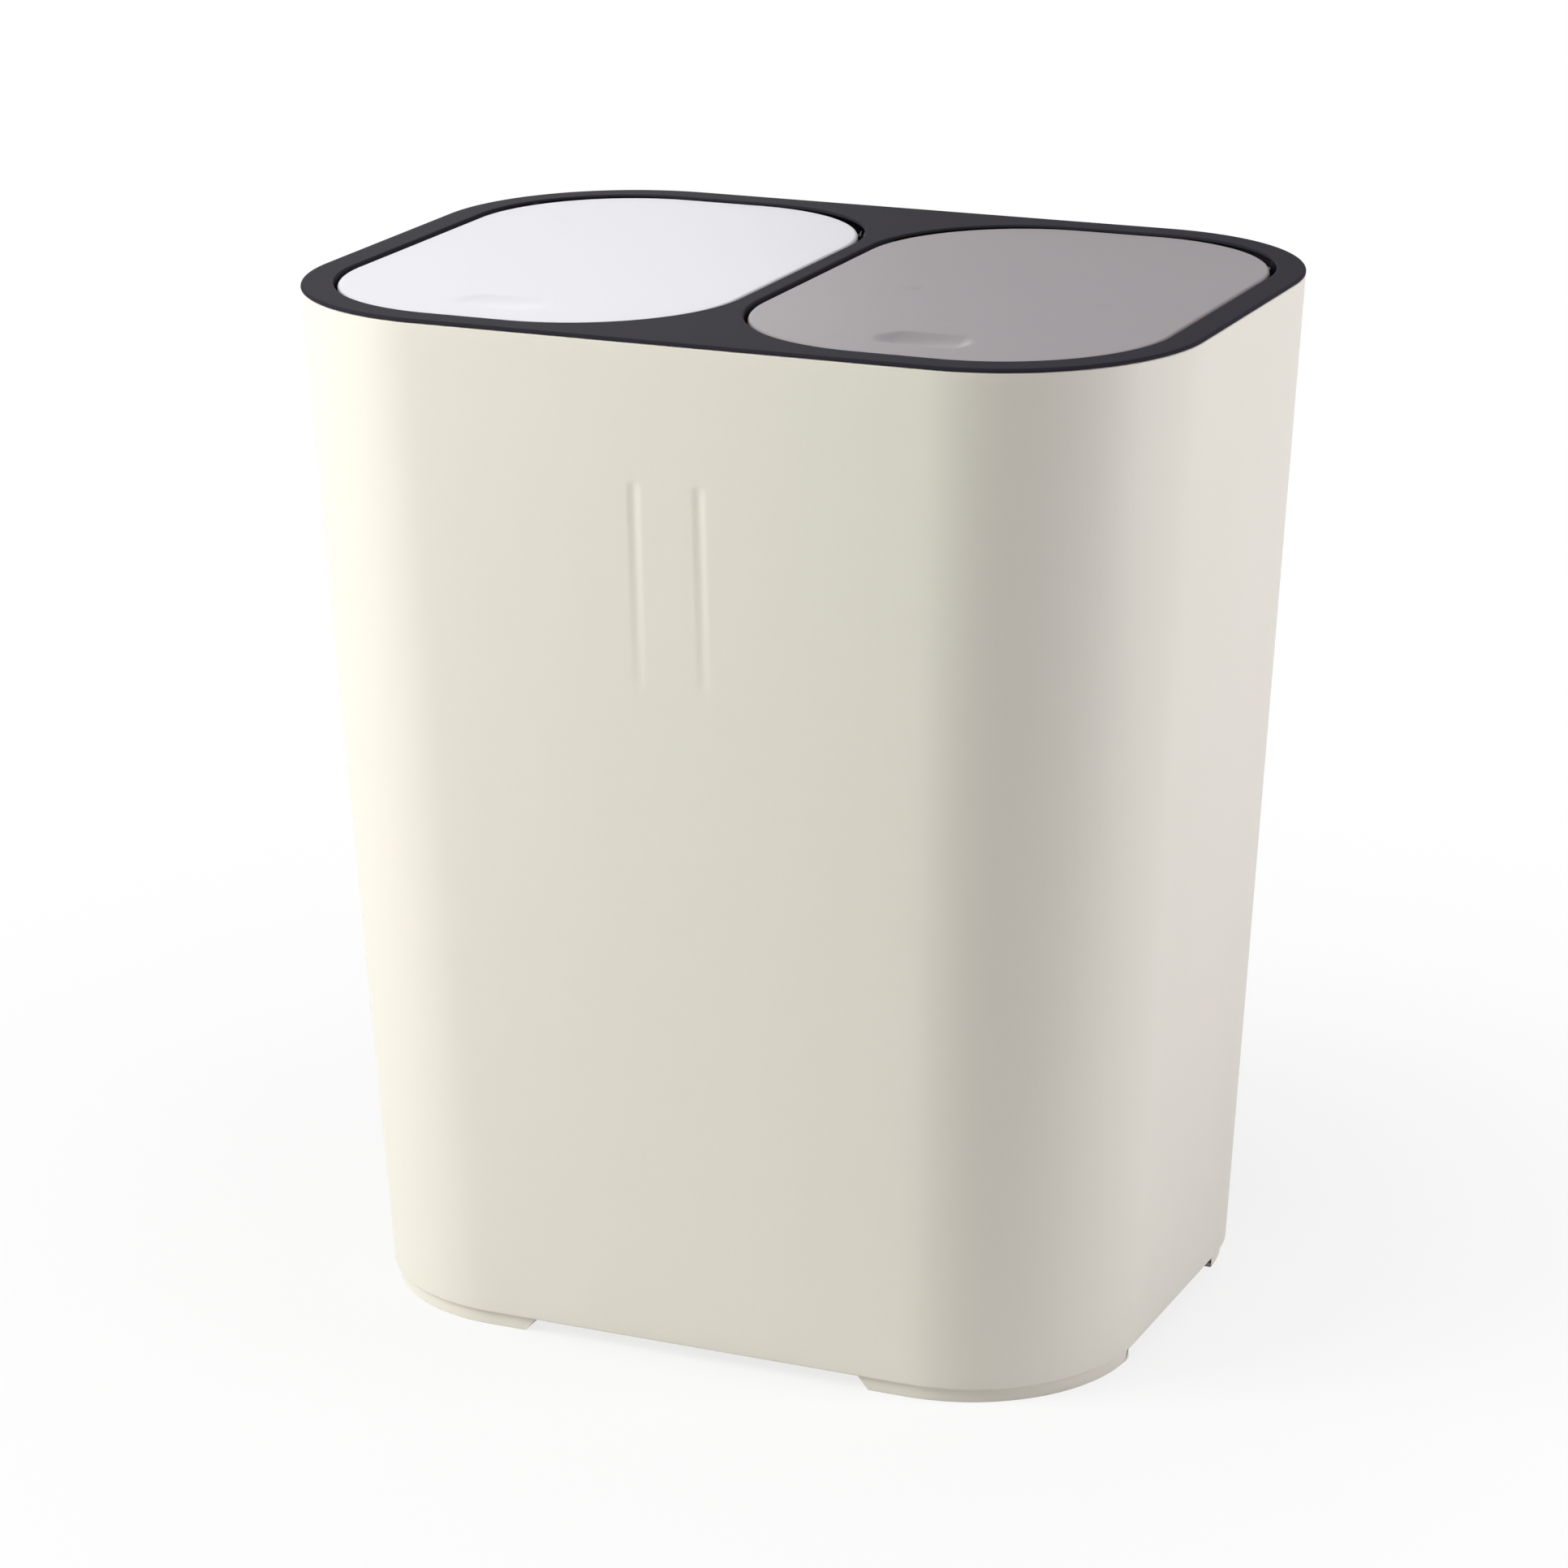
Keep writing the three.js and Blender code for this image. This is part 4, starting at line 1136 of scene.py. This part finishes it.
@dataclass
class TopFrame(Assembly):
    """The charcoal frame with its openings, skirt, bosses and latches."""

    shell: Shell
    lids: Lids
    plate: float = 1.0 * MM
    edge: float = 0.7 * MM
    ledge_edge: float = 0.2 * MM
    skirt_edge: float = 0.4 * MM
    hole_edge: float = 0.5 * MM
    skirt_depth: float = 18 * MM
    skirt_wall: float = 1.8 * MM
    clearance: float = 0.4 * MM
    lid_gap: float = 1.15 * MM
    rear_relief: float = 3.4 * MM
    lip_wall: float = 1.4 * MM
    lip_depth: float = 4 * MM
    lip_edge: float = 0.3 * MM
    lip_end: float = 30 * MM
    lip_fade: float = 14 * MM
    lip_root: float = 0.35 * MM
    web_thickness: float = 2 * MM
    web_depth: float = 12 * MM
    boss_radius: float = 2.3 * MM
    boss_hole: float = 1.1 * MM
    boss_length: float = 4.6 * MM
    boss_relief: float = 1.4 * MM
    rest_length: float = 3 * MM
    striker_y: float = -83.95 * MM
    latch_length: float = 12 * MM
    latch_top_drop: float = 9.5 * MM
    latch_height: float = 20.5 * MM
    tab_edge: float = 0.5 * MM
    screw_x: float = 10 * MM
    screw_boss: float = 3 * MM
    screw_hole: float = 1.5 * MM
    seat_gap: float = 0.3 * MM
    latch_coil_radius: float = 2.2 * MM
    latch_wire: float = 0.3 * MM
    latch_turns: float = 4.0
    latch_closing: float = 0.3
    latch_floor: float = 2 * MM
    plunger_bottom_drop: float = 20 * MM

    @property
    def top(self) -> float:
        """The height of the frame's top."""
        return self.shell.height

    @property
    def under(self) -> float:
        """The height of the plate's underside."""
        return self.top - self.plate

    @property
    def latch_low(self) -> float:
        """The height of a latch's underside."""
        return self.top - self.latch_top_drop - self.latch_height

    def skirt(self, z: float, inset: float = 0.0) -> Outline:
        """The skirt's outside in plan at a height."""
        return self.shell.outline(z, self.shell.wall + self.clearance + inset)

    def web(self) -> bpy.types.Object:
        """The upright web under the bridge between the two openings.

        Returns:
            The new object.
        """
        low = self.top - self.web_depth
        half = self.skirt(low, self.skirt_wall / 2).half_depth
        length = self.web_depth - self.plate / 2
        return bar(self.web_thickness / 2, half, self.skirt_edge, length, facing("z", 0, 0, low))

    def hinge_bosses(self, side: Side) -> list[bpy.types.Object]:
        """The two eyes that carry a lid's pin, and the rest for its spring's rear leg.

        Args:
            side: which lid.

        Returns:
            The new objects.
        """
        lids, sign = self.lids, side.value
        middle, wire = lids.middle(side), lids.wire_radius
        coil_end = lids.coil_start + wire + lids.coil_turns * lids.coil_pitch
        inner = -sign * (coil_end + wire + lids.side_play)
        outer = sign * (lids.reach(lids.hinge_setback + self.boss_radius) + lids.side_play)
        height = self.top - self.plate / 2 - lids.hinge_z
        shape = arch(self.boss_radius, height, self.boss_radius, dome_up=False)
        pieces = []
        for start, end in (
            (inner, inner - sign * self.boss_length),
            (outer + sign * self.boss_relief, outer + sign * self.boss_length),
        ):
            place = facing("x", middle + min(start, end), lids.hinge_y, lids.hinge_z)
            pieces.append(collar(shape, self.boss_hole, abs(end - start), place))
        half = self.rest_length / 2
        low = lids.hinge_z - lids.coil_radius + wire + self.seat_gap
        place = facing("z", middle - sign * coil_end, lids.hinge_y + lids.frame_leg - half, low)
        length = self.top - self.plate / 2 - low
        return [*pieces, bar(half, half, self.skirt_edge, length, place)]

    def latch_tab(self, side: Side) -> list[bpy.types.Object]:
        """The tab under a lid's front that carries its latch on two screw bosses.

        Args:
            side: which lid.

        Returns:
            The new objects.
        """
        low = self.latch_low
        start = self.skirt_wall / 2 - self.skirt(low).half_depth
        middle = self.lids.middle(side)
        length = self.top - self.skirt_depth / 2 - low
        place = facing("z", middle, start, low)
        half = self.screw_x + self.screw_boss
        pieces = [bar(half, self.skirt_wall / 2, self.tab_edge, length, place)]
        length = self.striker_y - self.latch_length / 2 - self.seat_gap - start
        circle = turned(round_angles(32)) * self.screw_boss
        for x in (middle - self.screw_x, middle + self.screw_x):
            place = facing("y", x, start, low + self.latch_height / 2)
            pieces.append(collar(circle, self.screw_hole, length, place))
        return pieces

    def latch_spring(self, side: Side) -> None:
        """The compression spring under a plunger, with its end turns a little closer.

        The helix climbs as low + rise s, s = t - k sin(2 pi t) / (2 pi), flatter at both ends.

        Args:
            side: which lid.
        """
        low = self.latch_low + self.latch_floor + self.seat_gap + self.latch_wire
        high = self.top - self.plunger_bottom_drop - self.seat_gap - self.latch_wire
        share = np.linspace(0, 1, 241)
        outward_way = raised(turned(share * self.latch_turns * 2 * math.pi), 0.0)
        climb = share - self.latch_closing * np.sin(2 * math.pi * share) / (2 * math.pi)
        x = self.lids.middle(side)
        path = outward_way * self.latch_coil_radius + np.array([x, self.striker_y, low])
        path[:, 2] += (high - low) * climb
        wire = tube(f"{side.word}_latch_wire", path, outward_way, self.latch_wire, 12)
        self.dress(wire, "spring_steel", None, f"{side.word}_latch_spring")
        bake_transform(wire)

    def opening(self, side: Side) -> Outline:
        """A lid's opening: the lid's outline with its gap, tighter round the rear corners.

        Args:
            side: which lid.

        Returns:
            The outline.
        """
        sizes = (self.lids.half_width, self.lids.half_depth, self.lids.radius)
        outline = Outline(*sizes, self.lids.middle(side), self.rear_relief)
        return outline.inset(-self.lid_gap)

    def rim(self) -> bpy.types.Object:
        """Outer edge, underside ledge and skirt, as a profile round the shell's outline.

        Returns:
            The new object.
        """
        top, under = self.top, self.under
        ledge = self.shell.wall + self.clearance
        inner = ledge + self.skirt_wall
        low = top - self.skirt_depth
        corners = [(2 * self.edge, top), (0, top), (0, under), (ledge, under)]
        corners += [(ledge, low), (inner, low), (inner, under)]
        small, soft = self.ledge_edge, self.skirt_edge
        profile = rounded_profile(corners, [0, self.edge, small, small, soft, soft, 0])
        rows = []
        for inset, z in reversed(profile):
            level = min(z, under) if inset >= ledge - 1e-6 else top
            rows.append(raised(self.shell.outline(level, inset).points(40), z))
        return skin("frame_rim", np.stack(rows), capped=False)

    def hole(self, side: Side) -> bpy.types.Object:
        """The wall of a lid's opening, with its rounded edge and its lip.

        Args:
            side: which lid.

        Returns:
            The new object.
        """
        plan = self.opening(side)
        front = (self.lids.half_depth - self.lip_end - plan.points(40)[:, 1]) / self.lip_fade
        lip = self.under - (self.lip_depth - self.plate) * smooth(np.clip(front, 0, 1))
        edge, soft, wall = self.hole_edge, self.lip_edge, self.lip_wall
        profile = [(-edge, self.top)]
        profile += fillet((-edge, self.top), (0, self.top), (0, self.top - edge))
        profile += [(0.0, lip + soft), (-soft, lip), (soft - wall, lip)]
        profile += [(-wall, lip + soft), (-wall, self.under + self.lip_root)]
        return skin("frame_hole", np.stack(plan.carry(profile, 40))[:, ::-1], capped=False)

    def sheets(self) -> list[bpy.types.Object]:
        """The plate's flat top and underside.

        Returns:
            The two new objects.
        """
        holes = [self.opening(side).inset(-self.hole_edge).points(40) for side in Side]
        outer = self.shell.outline(self.top, 2 * self.edge).points(40)
        inner = self.skirt(self.under, self.skirt_wall).points(40)
        return [
            flat_sheet(outer, holes, self.top, True),
            flat_sheet(inner, holes, self.under, False),
        ]

    def build(self) -> None:
        """Make the frame as one moulded piece and dress the latches that it carries."""
        pieces = [self.rim(), *self.sheets(), self.web()]
        for side in Side:
            pieces += [self.hole(side), *self.hinge_bosses(side), *self.latch_tab(side)]
        moulding = joined("frame_moulding", pieces)
        self.dress(moulding, "charcoal_plastic", "frame", "top_frame")
        for side in Side:
            self.keep(f"{side.word}_latch_housing", "latch_plastic")
            self.keep(f"{side.word}_latch_plunger", "natural_plastic")
            self.latch_spring(side)
            for hand in ("a", "b"):
                self.keep(f"{side.word}_latch_screw_{hand}", "zinc_steel")


@dataclass
class Buckets(Assembly):
    """The inner buckets and the bails folded on their rims."""

    shell: Shell
    rim_z: float = 272 * MM
    bottom_z: float = 7.5 * MM
    wall: float = 1.8 * MM
    floor: float = 2 * MM
    lip: float = 4.2 * MM
    lip_thickness: float = 2.4 * MM
    lip_edge: float = 0.8 * MM
    lip_root: float = 3 * MM
    rim_clearance: float = 1 * MM
    base_clearance: float = 3.4 * MM
    inner_draft: float = 4 * MM
    base_round: float = 5 * MM
    seat_gap: float = 0.3 * MM
    bail_width: float = 3.4 * MM
    bail_height: float = 4 * MM
    bail_edge: float = 1.1 * MM
    pin_radius: float = 1.45 * MM
    running_gap: float = 0.3 * MM
    ear_width: float = 12 * MM
    ear_thickness: float = 2.6 * MM
    ear_edge: float = 0.5 * MM

    @property
    def bail_z(self) -> float:
        """The height of the bail's middle line."""
        return self.rim_z + self.seat_gap + self.bail_height / 2

    def plan(self, side: Side, z: float, inner: float, clearance: float) -> Outline:
        """A bucket's outline from the room inside the shell.

        Args:
            side: which bucket.
            z: the height at which the room is taken.
            inner: how far from the bin's middle plane the bucket begins.
            clearance: the gap to the shell.

        Returns:
            The outline.
        """
        room = self.shell.outline(z, self.shell.wall + clearance)
        half = (room.half_width - inner) / 2
        return Outline(half, room.half_depth, room.radius, side.value * (inner + half))

    def lip_plan(self, side: Side) -> Outline:
        """The rim's outside."""
        return self.plan(side, self.rim_z, self.shell.wall / 2, self.rim_clearance)

    def cup(self, side: Side) -> bpy.types.Object:
        """The bucket as one profile; each wall's loop is mixed from the base's and the rim's.

        Args:
            side: which bucket.

        Returns:
            The new object.
        """
        rim = self.lip_plan(side).inset(self.lip)
        low, start = self.bottom_z, self.bottom_z + self.base_round
        base_inner = self.shell.wall / 2 + self.inner_draft
        base = self.plan(side, start, base_inner, self.base_clearance)
        under, inside, edge = self.rim_z - self.lip_thickness, self.wall, self.lip_edge
        floor, drop = low + self.floor, self.rim_z - self.lip_root
        wall = np.linspace(0, 1, 9)
        section = [(0.0, under), (-self.lip, under), (-self.lip, self.rim_z)]
        section += [(inside, self.rim_z), (inside, drop)]
        lip = rounded_profile(section, [0, edge, edge, edge, 0])
        outer_round = fillet((self.base_round, low), (0, low), (0, start), 8)
        inner_round = fillet((0, start), (0, floor), (self.base_round, floor), 8)
        stations = [
            *((0.0, inset, z) for inset, z in outer_round),
            *((share, 0.0, start + (under - start) * share) for share in wall[1:]),
            *((1.0, inset, z) for inset, z in lip[1:]),
            *((share, inside, start + (drop - start) * share) for share in wall[-2::-1]),
            *((0.0, inside + inset, z) for inset, z in inner_round[1:]),
        ]
        rows = []
        for share, inset, z in stations:
            low_loop, high_loop = (plan.inset(inset).points(24) for plan in (base, rim))
            rows.append(raised(low_loop * (1 - share) + high_loop * share, z))
        return skin("bucket_cup", np.stack(rows))

    def ears(self, side: Side) -> list[bpy.types.Object]:
        """The two upright ears on the rim that carry the bail.

        Args:
            side: which bucket.

        Returns:
            The new objects.
        """
        lip = self.lip_plan(side)
        below = self.bail_z - self.rim_z + self.lip_thickness / 2
        shape = arch(self.ear_width / 2, below, self.bail_height / 2 + self.pin_radius)
        hole = self.pin_radius + self.running_gap
        far = lip.half_depth - 2 * self.seat_gap - self.bail_width
        starts = (-far, far - self.ear_thickness)
        places = (facing("y", lip.centre_x, y, self.bail_z) for y in starts)
        thickness, edge = self.ear_thickness, self.ear_edge
        return [collar(shape, hole, thickness, place, edge) for place in places]

    def bail(self, side: Side) -> bpy.types.Object:
        """The bail: a rounded section round the outer half of the rim, with its two pins.

        Args:
            side: which bucket.

        Returns:
            The new object.
        """
        lip = self.lip_plan(side)
        section = Outline(self.bail_width / 2, self.bail_height / 2, self.bail_edge).points(6)
        rows = []
        for across, up in section:
            loop = lip.inset(self.seat_gap + self.bail_width / 2 + across).points(32)
            half = np.split(loop, 2)[side is Side.LEFT]
            ends = [[lip.centre_x, half[0, 1]], [lip.centre_x, half[-1, 1]]]
            rows.append(raised(np.concatenate([ends[:1], half, ends[1:]]), self.bail_z + up))
        pieces = [skin("bail_bow", np.stack(rows).transpose(1, 0, 2))]
        outside = lip.half_depth - self.seat_gap
        inside = outside - self.bail_width
        middle = (outside + inside) / 2
        pin_end = inside - self.seat_gap - self.ear_thickness
        spans = ((self.bail_height / 2, inside, outside), (self.pin_radius, pin_end, middle))
        for radius, start, end in spans:
            for y in (-end, start):
                place = facing("y", lip.centre_x, y, self.bail_z)
                pieces.append(bar(radius, radius, radius * 0.999, end - start, place))
        return joined(f"{side.word}_bail_moulding", pieces)

    def build(self) -> None:
        """Make both buckets with their ears, and both bails."""
        for side in Side:
            word = side.word
            bucket = joined(f"{word}_bucket_moulding", [self.cup(side), *self.ears(side)])
            self.dress(bucket, "bucket_plastic", f"{word}_bucket_body", f"{word}_bucket")
            self.dress(self.bail(side), "latch_plastic", f"{word}_bail_body", f"{word}_bail")


# ---------------------------------------------------------------------------- the studio


def direction(azimuth: float, elevation: float) -> Vector:
    """The way out from the bin: (sin a cos e, -cos a cos e, sin e) for azimuth a, elevation e.

    Args:
        azimuth: degrees from the front towards the right.
        elevation: degrees above the floor.

    Returns:
        The unit vector.
    """
    turn, lift = math.radians(azimuth), math.radians(elevation)
    flat = math.cos(lift)
    return Vector((math.sin(turn) * flat, -math.cos(turn) * flat, math.sin(lift)))


@dataclass(frozen=True)
class Panel:
    """A rectangular studio lamp that faces a point."""

    name: str
    azimuth: float
    elevation: float
    distance: float
    width: float
    height: float
    watts: float
    colour: tuple[float, float, float] = (1.0, 1.0, 1.0)
    aim: float = MIDDLE_HEIGHT

    def build(self) -> None:
        """Add the lamp, facing the point at its aim's height over the origin."""
        way = direction(self.azimuth, self.elevation)
        lamp = bpy.data.lights.new(self.name, "AREA")
        lamp.shape = "RECTANGLE"
        lamp.size, lamp.size_y = self.width, self.height
        lamp.energy = self.watts
        lamp.color = self.colour
        obj = placed(self.name, lamp)
        obj.location = Vector((0, 0, self.aim)) + way * self.distance
        obj.rotation_euler = (-way).to_track_quat("-Z", "Y").to_euler()


@dataclass(frozen=True)
class Studio:
    """Floor, backdrop, light and camera."""

    azimuth: float = 23.94
    elevation: float = 17.75
    roll: float = -0.51
    distance: float = 1.52871
    shift_right: float = -0.0074
    shift_up: float = -0.00187
    focal_pixels: float = 6249.53
    frame_pixels: float = 1932.0
    sensor: float = 36.0
    clip_end: float = 50.0
    world_strength: float = 0.05
    floor_reach: float = 3.0
    paper_grey: float = 0.8
    shadow_share: float = 0.25
    shadow_reach: float = 0.26
    panels: tuple[Panel, ...] = (
        Panel("key_left", -45, 35, 1.5, 0.8, 0.8, 13.7, (0.97, 1.0, 0.97)),
        Panel("wing_left", -60, 25, 1.5, 0.8, 0.8, 2.4, (0.97, 1.0, 0.97)),
        Panel("strip_left", -55, 0, 0.72, 0.3, 0.9, 1.6, (0.97, 1.0, 1.0), 0.47),
        Panel("strip_right", 95, 0, 0.72, 0.24, 0.9, 3.4, (0.98, 0.985, 1.02), 0.47),
        Panel("back_left", -148, 14, 1.5, 0.45, 0.5, 1.3),
        Panel("overhead", 0, 89, 1.4, 1.4, 1.4, 2.5, (1.05, 1.0, 1.05)),
        Panel("overhead_front", 0, 65, 1.4, 1.4, 0.8, 2.1, (1.05, 1.0, 1.05)),
    )

    def camera(self) -> None:
        """Place the camera where the photograph was taken from."""
        roll = math.radians(self.roll)
        back = direction(self.azimuth, self.elevation)
        right = -direction(self.azimuth - 90, 0)
        up = back.cross(right)
        place = Vector((0, 0, MIDDLE_HEIGHT)) + back * self.distance
        place += right * self.shift_right + up * self.shift_up
        rolled_right = right * math.cos(roll) + up * math.sin(roll)
        rolled_up = up * math.cos(roll) - right * math.sin(roll)
        data = bpy.data.cameras.new("photo_camera")
        data.sensor_width = self.sensor
        data.lens = self.focal_pixels / self.frame_pixels * self.sensor
        data.clip_end = self.clip_end
        axes = Matrix((rolled_right, rolled_up, back)).transposed().to_4x4()
        obj = placed("photo_camera", data)
        obj.matrix_world = Matrix.Translation(place) @ axes
        bpy.context.scene.camera = obj

    def seen_white(self, layer: NodeTree) -> bpy.types.NodeSocket:
        """1 for rays of the camera, of gloss and of glass, which see the white surround.

        Args:
            layer: the tree that reads the rays.

        Returns:
            The socket that tells them from the light on the object.
        """
        path = layer.add("ShaderNodeLightPath").outputs
        seen = layer.math("MAXIMUM", path["Is Camera Ray"], path["Is Glossy Ray"])
        return layer.math("MAXIMUM", seen, path["Is Transmission Ray"])

    def paper(self) -> bpy.types.Material:
        """White paper: lit close to the bin, where its shadow shows, and plain white farther out.

        The share of white is 1 - shadow_share exp(-(distance / shadow_reach)^2).

        Returns:
            The new material.
        """
        material = bpy.data.materials.new("studio_paper")
        material.use_nodes = True
        layer = NodeTree(material.node_tree)
        matt = layer.add("ShaderNodeBsdfDiffuse", Color=(*[self.paper_grey] * 3, 1.0))
        glow = layer.add("ShaderNodeEmission")
        far = layer.add("ShaderNodeVectorMath", operation="LENGTH")
        place = layer.add("ShaderNodeTexCoord").outputs["Object"]
        share = layer.math("DIVIDE", layer.combine(far, place).outputs["Value"], self.shadow_reach)
        power = layer.math("MULTIPLY", layer.math("MULTIPLY", share, share), -1.0)
        shadow = layer.math("MULTIPLY", layer.math("POWER", math.e, power), self.shadow_share)
        white = layer.math("MULTIPLY", layer.math("SUBTRACT", 1.0, shadow), self.seen_white(layer))
        mix = layer.add("ShaderNodeMixShader")
        layer.combine(mix, white, matt.outputs[0], glow.outputs[0])
        layer.add("ShaderNodeOutputMaterial", Surface=mix.outputs[0])
        return material

    def world(self) -> None:
        """A soft even surround, which the camera, gloss and glass see as plain white."""
        world = bpy.data.worlds.new("studio_world")
        world.use_nodes = True
        layer = NodeTree(world.node_tree)
        mix = layer.add("ShaderNodeMixShader")
        layer.feed(mix.inputs[0], self.seen_white(layer))
        for target, strength in zip(mix.inputs[1:], (self.world_strength, 1.0)):
            light = layer.add("ShaderNodeBackground", Color=(1.0,) * 4, Strength=strength)
            layer.feed(target, light.outputs[0])
        layer.add("ShaderNodeOutputWorld", Surface=mix.outputs[0])
        bpy.context.scene.world = world

    def floor(self) -> None:
        """A wide plain floor under the bin."""
        corners = np.array([[-1, -1, 0], [1, -1, 0], [1, 1, 0], [-1, 1, 0]]) * self.floor_reach
        obj = mesh_object("studio_floor", corners, [[0, 1, 2, 3]])
        obj.data.materials.append(self.paper())

    def build(self) -> None:
        """Set the whole studio up."""
        self.camera()
        self.world()
        self.floor()
        for panel in self.panels:
            panel.build()
        bpy.context.scene.view_settings.view_transform = "Standard"


def main() -> None:
    logging.basicConfig(level=logging.INFO, format="%(name)s %(message)s")
    Studio().build()
    effects = EffectLibrary()
    finishes = {finish.name: finish.build(effects) for finish in FINISHES}
    shell = Shell(finishes)
    lids = Lids(finishes)
    for assembly in (shell, lids, TopFrame(finishes, shell, lids), Buckets(finishes, shell)):
        assembly.build()


if __name__ == "__main__":
    main()
